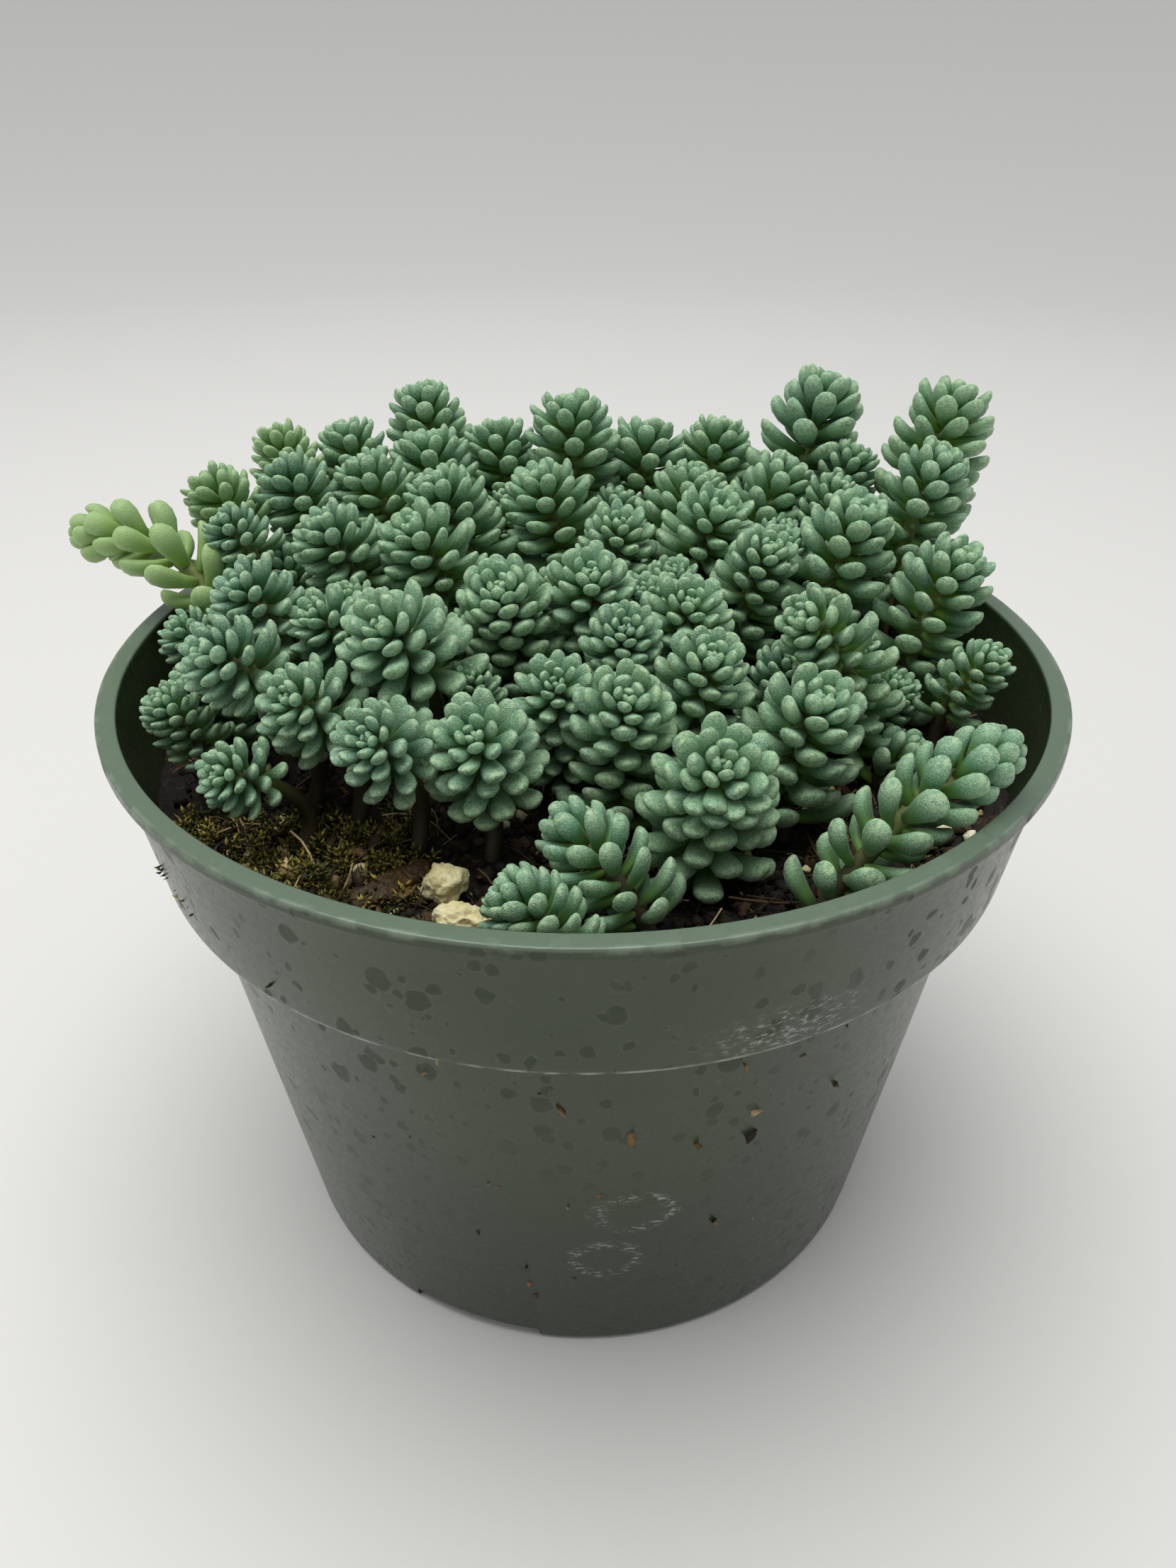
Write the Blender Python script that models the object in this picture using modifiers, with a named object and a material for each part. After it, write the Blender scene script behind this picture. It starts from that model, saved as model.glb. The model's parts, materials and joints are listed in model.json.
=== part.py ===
"""A stonecrop cushion growing in a round nursery pot.

Metres, +Z up. The origin is on the pot's axis, on the surface that the pot stands on. -Y is the front.
"""

import math

import bmesh
import bpy
from mathutils import Vector, noise

MM = 0.001

# Pot: a thin moulded wall with a flat lip, a straight collar, and a narrower tapered body.
POT_HEIGHT = 105 * MM
LIP_RADIUS = 76 * MM
LIP_WIDTH = 3 * MM
LIP_THICKNESS = 2 * MM
LIP_OVERHANG = 1.6 * MM
COLLAR_HEIGHT = 25.4 * MM
COLLAR_TAPER = 3.8 * MM
STEP_WIDTH = 4.2 * MM
BODY_TAPER = 10.8 * MM
WALL = 1.4 * MM
EDGE_ROUND = 0.4 * MM
FOOT_ROUND = 0.8 * MM
FOOT_WIDTH = 5.5 * MM
FLOOR_THICKNESS = 1.6 * MM
FLOOR_LIFT = 3.2 * MM
CENTRE_PAD_RADIUS = 14.5 * MM
POT_STEPS = 48

# Drainage: low gaps in the foot, and round holes through the floor.
GAP_COUNT = 4
GAP_WIDTH = 23 * MM
GAP_HEIGHT = 2.9 * MM
GAP_FIRST_ANGLE = math.radians(-110)
HOLE_COUNT = 6
HOLE_RADIUS = 4 * MM
HOLE_CIRCLE = 33 * MM
HOLE_FIRST_ANGLE = math.radians(17)

# Soil and what lies on it.
CLEARANCE = 0.3 * MM
SOIL_DROP = 16 * MM
SOIL_STEPS = 36

# Shoots: a stem in the soil, and a head of leaves in whorls around its tip.
STEM_RADIUS = 1.5 * MM
LEAVES_PER_WHORL = 5
HEAD_LENGTH = 3.1
ROOT_PULL = 0.9
OVERHANGING = {
    "shoot_left_6": 0.84, "shoot_left_8": 0.78, "shoot_left_9": 0.82, "shoot_left_10": 0.83,
    "shoot_front_1": 0.80, "shoot_front_2": 0.84, "shoot_front_3": 0.89,
}
LAYOUT_BED_RADIUS = 73 * MM
LENGTH_SAMPLES = 16
MOST_HEAD_SHARE = 0.86
NECK_DROP = 0.04

# Height along the head, and size there, of each whorl, as shares of the head's length and radius.
WHORLS = ((0.0, 0.9), (0.25, 1.0), (0.49, 0.92), (0.71, 0.64))
WHORL_RISE = 0.12
NOTCH_DEPTH = 0.68
NECK = 0.85

# The cushion, laid out by hand for a bed of LAYOUT_BED_RADIUS, in whole millimetres:
# across, towards the back, tip above the lip, and head radius.
BACK_HEADS = (
    (-58, 47, 22, 6), (-46, 53, 21, 6.5), (-32, 61, 26, 7.5), (-30, 46, 21, 8), (-17, 54, 21, 7),
    (-3, 50, 27, 8), (13, 54, 21, 8), (27, 55, 21, 7), (45, 46, 32, 8), (65, 31, 34, 7.5),
    (38, 60, 12, 7), (-17, 67, 8, 6), (5, 67, 9, 6.5),
)
MIDDLE_HEADS = (
    (-41, 33, 20, 7), (-27, 25, 20, 7.5), (-9, 28, 20, 8), (6, 13, 17, 6.5),
    (21, 31, 19, 7), (23, 15, 19, 8), (38, 32, 20, 7), (60, 18, 27, 7), (45, 6, 22, 8.5),
    (30, 2, 17, 6.5), (-29, 8, 18, 8), (-13, -12, 16, 7), (1, -8, 17, 7.5), (16, -14, 15, 7),
)
LEFT_HEADS = (
    (-67, 28, 19, 6), (-55, 32, 20, 7), (-61, 14, 17, 5), (-44, 10, 18, 7), (-53, -10, 16, 6.5),
    (-41, -14, 13, 6.5), (-67, 0, 4, 5), (-54, -27, 13, 6.5), (-50, -42, 2, 5), (-41, -35, 10, 6.5),
)
RIGHT_HEADS = (
    (60, -1, 17, 7.5), (63, -15, 6, 5), (52, -21, -6, 6),
)
FRONT_HEADS = (
    (-29, -27, 17, 8.5), (-29, -43, 8, 6.5), (-15, -42, 8, 7.5), (-4, -29, 9, 6), (6, -22, 14, 5.7),
    (18, -28, 13, 7), (6, -37, 11, 7.5), (33, -35, 10, 8.5),
)
# Shoots that lean or lie: the same four sizes, where the root is, and where the bend is.
LEANING = {
    "shoot_trailing_left": ((-88, 21, 11, 5.5), (-57, 8), (-63, 12, 20)),
    "shoot_leaning_right": ((30, -21, 15, 6), (42, -13), (42, -16, 10)),
    "shoot_facing_front": ((18, -50, 6, 8), (17, -41), (17, -41, 6)),
    "shoot_reclining_right": ((57, -42, 6, 5.5), (30, -53), (43, -50, 6)),
    "shoot_low_front": ((-4, -47, -2, 6.5), (9, -56), (4, -54, -3)),
    "shoot_low_front_left": ((-11, -60, -4, 5.5), (-1, -64), (-4, -62, -5)),
}

# Loose pieces on the soil: where each lies, its size along, across and up, and its turn.
LUMPS = {
    "perlite_lump_large": ((-19, -47), (6, 5.5, 5.5), 20),
    "perlite_lump_front": ((-16, -54), (8, 5, 4), -12),
}
MOSS = ((-39, -48), (14, 9, 3), -40)
BARK = ((-27, -45), (13, 4, 1.6), 38)
LUMP_ROUGHNESS = 0.3
LUMP_GRAIN = 4
MOSS_FLATTENING = 0.05
MOSS_ROUGHNESS = 0.5
MOSS_GRAIN = 6
BARK_END_WEAR = 0.25
BARK_SIDE_WEAR = 0.5
BARK_EDGE_WEAR = 0.3 * MM


def on_bed(x, y, scale):
    return Vector((x * MM * scale, y * MM * scale, 0))


class Pot:
    """Radii and heights that the pot's wall, the soil and the layout share."""

    lip_inner = LIP_RADIUS - LIP_WIDTH
    collar_top = LIP_RADIUS - LIP_OVERHANG
    collar_bottom = collar_top - COLLAR_TAPER
    body_top = collar_bottom - STEP_WIDTH
    body_bottom = body_top - BODY_TAPER
    step_height = POT_HEIGHT - COLLAR_HEIGHT
    floor_top = FLOOR_LIFT + FLOOR_THICKNESS
    ledge_height = step_height + WALL
    collar_slope = (lip_inner - (collar_bottom - WALL)) / (POT_HEIGHT - EDGE_ROUND - ledge_height)
    soil_height = POT_HEIGHT - SOIL_DROP
    scale = lip_inner / LAYOUT_BED_RADIUS

    @classmethod
    def collar_inner(cls, height):
        return cls.collar_bottom - WALL + cls.collar_slope * (height - cls.ledge_height)


def clear_scene():
    for obj in list(bpy.data.objects):
        bpy.data.objects.remove(obj, do_unlink=True)


def make_collection(name):
    collection = bpy.data.collections.new(name)
    bpy.context.scene.collection.children.link(collection)
    return collection


def make_material(name, colour, roughness, coat=0.0):
    material = bpy.data.materials.new(name)
    material.use_nodes = True
    shader = material.node_tree.nodes["Principled BSDF"]
    shader.inputs["Base Color"].default_value = (*colour, 1)
    shader.inputs["Roughness"].default_value = roughness
    shader.inputs["Metallic"].default_value = 0
    shader.inputs["Coat Weight"].default_value = coat
    return material


def add_object(name, mesh, collection, material=None):
    obj = bpy.data.objects.new(name, mesh)
    collection.objects.link(obj)
    if material:
        mesh.materials.append(material)
    return obj


def turned(name, profile, steps, collection, material):
    """A profile of (radius, height) points, run from the axis, up inside, over and down outside."""
    mesh = bpy.data.meshes.new(name)
    points = [(radius, 0, height) for radius, height in profile]
    mesh.from_pydata(points, [(i, i + 1) for i in range(len(points) - 1)], [])
    obj = add_object(name, mesh, collection, material)
    screw = obj.modifiers.new("Turn", "SCREW")
    screw.axis = "Z"
    screw.angle = math.tau
    screw.steps = screw.render_steps = steps
    screw.use_merge_vertices = True
    screw.merge_threshold = 0.00001
    return obj


def cut(obj, cutter):
    boolean = obj.modifiers.new("Cut " + cutter.name, "BOOLEAN")
    boolean.operation = "DIFFERENCE"
    boolean.solver = "EXACT"
    boolean.object = cutter


def add_cutter(name, bm, collection):
    mesh = bpy.data.meshes.new(name)
    bm.to_mesh(mesh)
    bm.free()
    cutter = add_object(name, mesh, collection)
    cutter.hide_render = True
    cutter.display_type = "WIRE"
    return cutter


def make_pot(collection, cutters, material):
    body_foot = Pot.body_bottom - FOOT_ROUND
    foot_inner = Pot.body_bottom - FOOT_WIDTH
    profile = [
        (0, Pot.floor_top),
        (Pot.body_bottom - WALL, Pot.floor_top),
        (Pot.body_top - WALL, Pot.ledge_height),
        (Pot.collar_bottom - WALL, Pot.ledge_height),
        (Pot.lip_inner, POT_HEIGHT - EDGE_ROUND),
        (Pot.lip_inner + EDGE_ROUND, POT_HEIGHT),
        (LIP_RADIUS - EDGE_ROUND, POT_HEIGHT),
        (LIP_RADIUS, POT_HEIGHT - EDGE_ROUND),
        (LIP_RADIUS, POT_HEIGHT - LIP_THICKNESS),
        (Pot.collar_top, POT_HEIGHT - LIP_THICKNESS),
        (Pot.collar_bottom, Pot.step_height),
        (Pot.body_top, Pot.step_height),
        (Pot.body_bottom, FOOT_ROUND),
        (body_foot, 0),
        (foot_inner, 0),
        (foot_inner, FLOOR_LIFT),
        (CENTRE_PAD_RADIUS, FLOOR_LIFT),
        (CENTRE_PAD_RADIUS, 0),
        (0, 0),
    ]
    pot = turned("pot", profile, POT_STEPS, collection, material)
    for i in range(GAP_COUNT):
        angle = GAP_FIRST_ANGLE + i * math.tau / GAP_COUNT
        bm = bmesh.new()
        bmesh.ops.create_cube(bm, size=1)
        bmesh.ops.scale(bm, vec=(3 * FOOT_WIDTH, GAP_WIDTH, 2 * GAP_HEIGHT), verts=bm.verts)
        cutter = add_cutter(f"foot_gap_cutter_{i + 1}", bm, cutters)
        cutter.location = (Pot.body_bottom * math.cos(angle), Pot.body_bottom * math.sin(angle), 0)
        cutter.rotation_euler.z = angle
        cut(pot, cutter)
    for i in range(HOLE_COUNT):
        angle = HOLE_FIRST_ANGLE + i * math.tau / HOLE_COUNT
        bm = bmesh.new()
        bmesh.ops.create_cone(
            bm,
            cap_ends=True,
            segments=12,
            radius1=HOLE_RADIUS,
            radius2=HOLE_RADIUS,
            depth=4 * FLOOR_THICKNESS,
        )
        cutter = add_cutter(f"drain_hole_cutter_{i + 1}", bm, cutters)
        cutter.location = (HOLE_CIRCLE * math.cos(angle), HOLE_CIRCLE * math.sin(angle), Pot.floor_top)
        cutter.rotation_euler.z = angle
        cut(pot, cutter)
    return pot


def make_soil(collection, material):
    bottom = Pot.floor_top + CLEARANCE
    ledge = Pot.ledge_height + CLEARANCE
    profile = [
        (0, Pot.soil_height),
        (Pot.collar_inner(Pot.soil_height) - CLEARANCE, Pot.soil_height),
        (Pot.collar_inner(ledge) - CLEARANCE, ledge),
        (Pot.body_top - WALL - CLEARANCE, ledge),
        (Pot.body_bottom - WALL - CLEARANCE, bottom),
        (0, bottom),
    ]
    return turned("soil", profile, SOIL_STEPS, collection, material)


def ring_points(centre, across, up, radii, turn):
    points = []
    for i, radius in enumerate(radii):
        angle = turn + i * math.tau / len(radii)
        points.append(centre + radius * (math.cos(angle) * across + math.sin(angle) * up))
    return points


def make_shoot(name, tip, head_radius, root, bend, collection, material):
    """A loft along a bent stem: round at the root, then star-shaped rings whose points are leaf tips."""
    lobes = LEAVES_PER_WHORL
    round_ring = [1.0] * (2 * lobes)

    def at(t):
        return (1 - t) ** 2 * root + 2 * t * (1 - t) * bend + t * t * tip

    samples = [at(i / LENGTH_SAMPLES) for i in range(LENGTH_SAMPLES + 1)]
    length = sum((after - before).length for before, after in zip(samples, samples[1:]))
    head_share = min(HEAD_LENGTH * head_radius / length, MOST_HEAD_SHARE)

    def on_head(height):
        return at(1 - head_share * (1 - height))

    stem = [STEM_RADIUS * size for size in round_ring]
    rings = [(root, stem, 0), (on_head(-NECK_DROP), stem, 0)]
    heading = (tip - bend).normalized()
    for k, (height, size) in enumerate(WHORLS):
        turn = (k % 2) * math.pi / lobes
        inner = max(NOTCH_DEPTH * NECK * size * head_radius, STEM_RADIUS)
        outer = [size * head_radius, size * head_radius * NOTCH_DEPTH] * lobes
        rings.append((on_head(height), [inner] * (2 * lobes), turn))
        rings.append((on_head(height + WHORL_RISE), outer, turn))

    bm = bmesh.new()
    loops = []
    across = Vector((1, 0, 0))
    for i, (centre, radii, turn) in enumerate(rings):
        ahead = rings[min(i + 1, len(rings) - 1)][0] - rings[max(i - 1, 0)][0]
        if i == 0:
            ahead = Vector((0, 0, 1))
        elif i == len(rings) - 1:
            ahead = heading
        ahead.normalize()
        across = (across - across.dot(ahead) * ahead).normalized()
        points = ring_points(centre, across, ahead.cross(across), radii, turn)
        loops.append([bm.verts.new(point) for point in points])
    for lower, upper in zip(loops, loops[1:]):
        bmesh.ops.bridge_loops(bm, edges=loop_edges(bm, lower) + loop_edges(bm, upper))
    bm.faces.new(list(reversed(loops[0])))
    crown = bm.verts.new(tip)
    top = loops[-1]
    for i, vert in enumerate(top):
        bm.faces.new((vert, top[(i + 1) % len(top)], crown))
    bmesh.ops.recalc_face_normals(bm, faces=bm.faces)
    mesh = bpy.data.meshes.new(name)
    bm.to_mesh(mesh)
    bm.free()
    return add_object(name, mesh, collection, material)


def loop_edges(bm, loop):
    edges = []
    for a, b in zip(loop, loop[1:] + loop[:1]):
        edges.append(bm.edges.get((a, b)) or bm.edges.new((a, b)))
    return edges


def place_head(name, head):
    """Tip, head radius, root and bend of an upright shoot, rooted nearer the pot's axis than its tip."""
    x, y, lift, radius = head
    tip = on_bed(x, y, Pot.scale)
    tip.z = POT_HEIGHT + lift * MM * Pot.scale
    pull = OVERHANGING.get(name, ROOT_PULL)
    root = on_bed(pull * x, pull * y, Pot.scale)
    root.z = Pot.soil_height + CLEARANCE
    bend = root.lerp(tip, 0.5)
    bend.x = root.x
    bend.y = root.y
    return tip, radius * MM * Pot.scale, root, bend


def make_shoots(collection, material):
    groups = {
        "back": BACK_HEADS,
        "middle": MIDDLE_HEADS,
        "left": LEFT_HEADS,
        "right": RIGHT_HEADS,
        "front": FRONT_HEADS,
    }
    for group, heads in groups.items():
        for i, head in enumerate(heads):
            name = f"shoot_{group}_{i + 1}"
            tip, radius, root, bend = place_head(name, head)
            make_shoot(name, tip, radius, root, bend, collection, material)
    for name, (head, root_at, bend_at) in LEANING.items():
        tip, radius, root, bend = place_head(name, head)
        root = on_bed(*root_at, Pot.scale)
        root.z = Pot.soil_height + CLEARANCE
        bend = on_bed(*bend_at[:2], Pot.scale)
        bend.z = POT_HEIGHT + bend_at[2] * MM * Pot.scale
        make_shoot(name, tip, radius, root, bend, collection, material)


def laid_size(size):
    return [side * MM * Pot.scale for side in size]


def make_lump(name, place, collection, material):
    """A rough grain that rests on the soil."""
    (x, y), size, turn = place
    bm = bmesh.new()
    bmesh.ops.create_icosphere(bm, subdivisions=2, radius=0.5)
    for vert in bm.verts:
        vert.co *= 1 + LUMP_ROUGHNESS * noise.noise(LUMP_GRAIN * vert.co + Vector((x, y, 0)))
    bmesh.ops.scale(bm, vec=laid_size(size), verts=bm.verts)
    mesh = bpy.data.meshes.new(name)
    low = min(vert.co.z for vert in bm.verts)
    bm.to_mesh(mesh)
    bm.free()
    lump = add_object(name, mesh, collection, material)
    lump.location = on_bed(x, y, Pot.scale)
    lump.location.z = Pot.soil_height + CLEARANCE - low
    lump.rotation_euler.z = math.radians(turn)
    return lump


def make_moss(collection, material):
    """A low cushion: half a ball, flattened, with a flat underside."""
    (x, y), size, turn = MOSS
    bm = bmesh.new()
    bmesh.ops.create_uvsphere(bm, u_segments=16, v_segments=8, radius=0.5)
    cut_off = bmesh.ops.bisect_plane(
        bm,
        geom=bm.verts[:] + bm.edges[:] + bm.faces[:],
        plane_co=(0, 0, -MOSS_FLATTENING),
        plane_no=(0, 0, -1),
        clear_outer=True,
    )
    edges = [item for item in cut_off["geom_cut"] if isinstance(item, bmesh.types.BMEdge)]
    bmesh.ops.edgeloop_fill(bm, edges=edges)
    for vert in bm.verts:
        if vert.co.z > 0:
            vert.co.z *= 1 + MOSS_ROUGHNESS * noise.noise(MOSS_GRAIN * vert.co)
    bmesh.ops.translate(bm, vec=(0, 0, MOSS_FLATTENING), verts=bm.verts)
    along, across, up = laid_size(size)
    bmesh.ops.scale(bm, vec=(along, across, 2 * up), verts=bm.verts)
    bmesh.ops.recalc_face_normals(bm, faces=bm.faces)
    mesh = bpy.data.meshes.new("moss_patch")
    bm.to_mesh(mesh)
    bm.free()
    moss = add_object("moss_patch", mesh, collection, material)
    moss.location = on_bed(x, y, Pot.scale)
    moss.location.z = Pot.soil_height + CLEARANCE
    moss.rotation_euler.z = math.radians(turn)
    return moss


def make_bark(collection, material):
    """A flake of bark: a thin slab with broken ends and worn edges."""
    (x, y), size, turn = BARK
    bm = bmesh.new()
    bmesh.ops.create_cube(bm, size=1)
    bmesh.ops.subdivide_edges(bm, edges=bm.edges[:], cuts=2, use_grid_fill=True)
    for vert in bm.verts:
        vert.co.x *= 1 + BARK_END_WEAR * noise.noise(Vector((0, 5 * vert.co.y, 3)))
        vert.co.y *= 1 + BARK_SIDE_WEAR * noise.noise(Vector((3 * vert.co.x, 0, 1)))
    bmesh.ops.scale(bm, vec=laid_size(size), verts=bm.verts)
    mesh = bpy.data.meshes.new("bark_chip")
    bm.to_mesh(mesh)
    bm.free()
    bark = add_object("bark_chip", mesh, collection, material)
    bevel = bark.modifiers.new("Worn edges", "BEVEL")
    bevel.width = BARK_EDGE_WEAR
    bevel.segments = 1
    bark.location = on_bed(x, y, Pot.scale)
    bark.location.z = Pot.soil_height + CLEARANCE + size[2] * MM * Pot.scale / 2
    bark.rotation_euler.z = math.radians(turn)
    return bark


def main():
    clear_scene()
    parts = make_collection("potted_sedum")
    cutters = make_collection("cutters")
    plastic = make_material("pot_plastic", (0.055, 0.075, 0.06), 0.45)
    peat = make_material("soil", (0.02, 0.014, 0.009), 0.95)
    leaf = make_material("leaf", (0.16, 0.30, 0.21), 0.5)
    perlite = make_material("perlite", (0.75, 0.70, 0.50), 0.9)
    moss = make_material("moss", (0.12, 0.13, 0.02), 0.95)
    bark = make_material("bark", (0.20, 0.08, 0.03), 0.7)
    make_pot(parts, cutters, plastic)
    make_soil(parts, peat)
    make_shoots(parts, leaf)
    for name, place in LUMPS.items():
        make_lump(name, place, parts, perlite)
    make_moss(parts, moss)
    make_bark(parts, bark)


main()
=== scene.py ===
# A stonecrop cushion in a round nursery pot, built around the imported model.
import json
import math

import bmesh
import bpy
import numpy as np
from mathutils import Matrix, Vector, noise

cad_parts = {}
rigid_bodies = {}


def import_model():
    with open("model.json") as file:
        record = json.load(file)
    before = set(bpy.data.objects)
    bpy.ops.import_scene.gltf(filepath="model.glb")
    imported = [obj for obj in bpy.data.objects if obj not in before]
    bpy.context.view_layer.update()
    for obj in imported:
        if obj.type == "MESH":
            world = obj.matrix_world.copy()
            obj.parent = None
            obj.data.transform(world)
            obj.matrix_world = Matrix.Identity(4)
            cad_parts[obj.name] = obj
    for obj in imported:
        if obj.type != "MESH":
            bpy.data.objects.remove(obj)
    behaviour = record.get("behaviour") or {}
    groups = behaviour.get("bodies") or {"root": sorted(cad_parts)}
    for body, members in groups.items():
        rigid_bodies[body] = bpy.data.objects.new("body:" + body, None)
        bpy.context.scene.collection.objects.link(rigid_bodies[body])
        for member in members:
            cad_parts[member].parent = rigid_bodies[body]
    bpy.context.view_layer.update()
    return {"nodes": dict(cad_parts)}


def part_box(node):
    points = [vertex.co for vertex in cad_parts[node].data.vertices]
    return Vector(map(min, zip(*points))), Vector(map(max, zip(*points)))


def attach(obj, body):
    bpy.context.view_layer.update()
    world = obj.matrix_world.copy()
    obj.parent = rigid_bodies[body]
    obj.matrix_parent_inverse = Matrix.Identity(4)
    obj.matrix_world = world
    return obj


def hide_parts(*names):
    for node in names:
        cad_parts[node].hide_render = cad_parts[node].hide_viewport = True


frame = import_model()
mm = 0.001
nodes = frame["nodes"]
scene = bpy.context.scene


# small helpers

def say(text):
    print("potted sedum:", text)


def newObject(name, mesh, finishes=()):
    made = bpy.data.objects.new(name, mesh)
    scene.collection.objects.link(made)
    for finish in finishes:
        mesh.materials.append(finish)
    return made


def meshFrom(name, bm, smooth=True):
    mesh = bpy.data.meshes.new(name)
    bm.to_mesh(mesh)
    bm.free()
    if smooth:
        mesh.shade_smooth()
    return mesh


def sharpen(mesh, degrees):
    # smooth shading everywhere but along edges that turn more than this
    bm = bmesh.new()
    bm.from_mesh(mesh)
    for edge in bm.edges:
        if len(edge.link_faces) == 2:
            edge.smooth = edge.calc_face_angle(0) < math.radians(degrees)
    bm.to_mesh(mesh)
    bm.free()


def pin(sockets, name):
    for socket in sockets:
        if socket.name == name and socket.enabled:
            return socket
    raise KeyError(name)


def wire(tree, source, target):
    # source may be a socket or a plain value
    if isinstance(source, bpy.types.NodeSocket):
        tree.links.new(source, target)
    else:
        target.default_value = source


def addNode(tree, kind, inputs=None, **settings):
    node = tree.nodes.new(kind)
    for name, value in settings.items():
        setattr(node, name, value)
    for name, value in (inputs or {}).items():
        socket = node.inputs[name] if isinstance(name, int) else pin(node.inputs, name)
        wire(tree, value, socket)
    return node


def maths(tree, operation, *values, clamp=False):
    node = tree.nodes.new("ShaderNodeMath")
    node.operation = operation
    node.use_clamp = clamp
    for socket, value in zip(node.inputs, values):
        wire(tree, value, socket)
    return node.outputs[0]


def times(tree, first, second, clamp=False):
    return maths(tree, "MULTIPLY", first, second, clamp=clamp)


def plus(tree, first, second, clamp=False):
    return maths(tree, "ADD", first, second, clamp=clamp)


def minus(tree, first, second, clamp=False):
    return maths(tree, "SUBTRACT", first, second, clamp=clamp)


def objectPlace(tree):
    return addNode(tree, "ShaderNodeTexCoord").outputs["Object"]


def clouds(tree, place, scale, detail):
    return addNode(tree, "ShaderNodeTexNoise", {"Vector": place, "Scale": scale, "Detail": detail}).outputs[0]


def vectorMaths(tree, operation, *values):
    node = tree.nodes.new("ShaderNodeVectorMath")
    node.operation = operation
    for socket, value in zip(node.inputs, values):
        if isinstance(value, (int, float)):
            value = (value, value, value)
        wire(tree, value, socket)
    return node.outputs["Value"] if operation in ("LENGTH", "DOT_PRODUCT", "DISTANCE") else node.outputs[0]


def scaled(tree, vector, amount):
    node = tree.nodes.new("ShaderNodeVectorMath")
    node.operation = "SCALE"
    wire(tree, vector, node.inputs[0])
    wire(tree, amount, node.inputs["Scale"])
    return node.outputs[0]


def newTree(name, kind, takes, gives):
    tree = bpy.data.node_groups.new(name, kind)
    for socketName, socketKind, value in takes:
        socket = tree.interface.new_socket(
            name=socketName, in_out="INPUT", socket_type="NodeSocket" + socketKind,
        )
        if value is not None:
            socket.default_value = value
    for socketName, socketKind in gives:
        tree.interface.new_socket(name=socketName, in_out="OUTPUT", socket_type="NodeSocket" + socketKind)
    start = tree.nodes.new("NodeGroupInput")
    end = tree.nodes.new("NodeGroupOutput")
    return tree, start.outputs, end.inputs


def grow(made, tree, values):
    # gives an object a tree, with its inputs set by identifier
    modifier = made.modifiers.new(tree.name, "NODES")
    modifier.node_group = tree
    for item in tree.interface.items_tree:
        if item.in_out == "INPUT" and item.name in values:
            modifier[item.identifier] = values[item.name]
    return made


def settle(made):
    # turns what the modifiers make into a plain mesh
    graph = bpy.context.evaluated_depsgraph_get()
    mesh = bpy.data.meshes.new_from_object(made.evaluated_get(graph), depsgraph=graph)
    made.modifiers.clear()
    made.data = mesh
    mesh.name = made.name
    return made


def ringOf(bm, radius, height, sides):
    turns = [k * math.tau / sides for k in range(sides)]
    return [bm.verts.new((radius * math.cos(turn), radius * math.sin(turn), height)) for turn in turns]


def bridge(bm, loops):
    for lower, upper in zip(loops, loops[1:]):
        for k in range(len(lower)):
            n = (k + 1) % len(lower)
            bm.faces.new((lower[k], lower[n], upper[n], upper[k]))


def joined(name, parts):
    with bpy.context.temp_override(active_object=parts[0], selected_editable_objects=parts):
        bpy.ops.object.join()
    parts[0].name = name
    return parts[0]


# camera, floor and light

studio = {
    "cameraPlace": (0, -0.1786, 0.19255),
    "cameraTurn": (57.35, 0, -0.23),
    "lens": 27.67,
    "floorRadius": 2.2,
    "skyLight": 0.40,
    "topLightSize": 1.2,
    "topLightPower": 13.5,
    "sideLightPower": 0.5,
    "floorFlat": 0.9,
    "floorRise": 0.75,
    "floorRings": 14,
    "floorSides": 96,
    "paper": (0.77, 0.76, 0.735, 1),
    "sky": (0.97, 0.985, 1.0, 1),
    "topLightPlace": (-0.12, 0.02, 1.25),
    "sideLightPlace": (-1.0, -0.55, 0.75),
    "sideLightSize": 0.9,
    "lightAim": (0, 0, 0.08),
}


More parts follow.
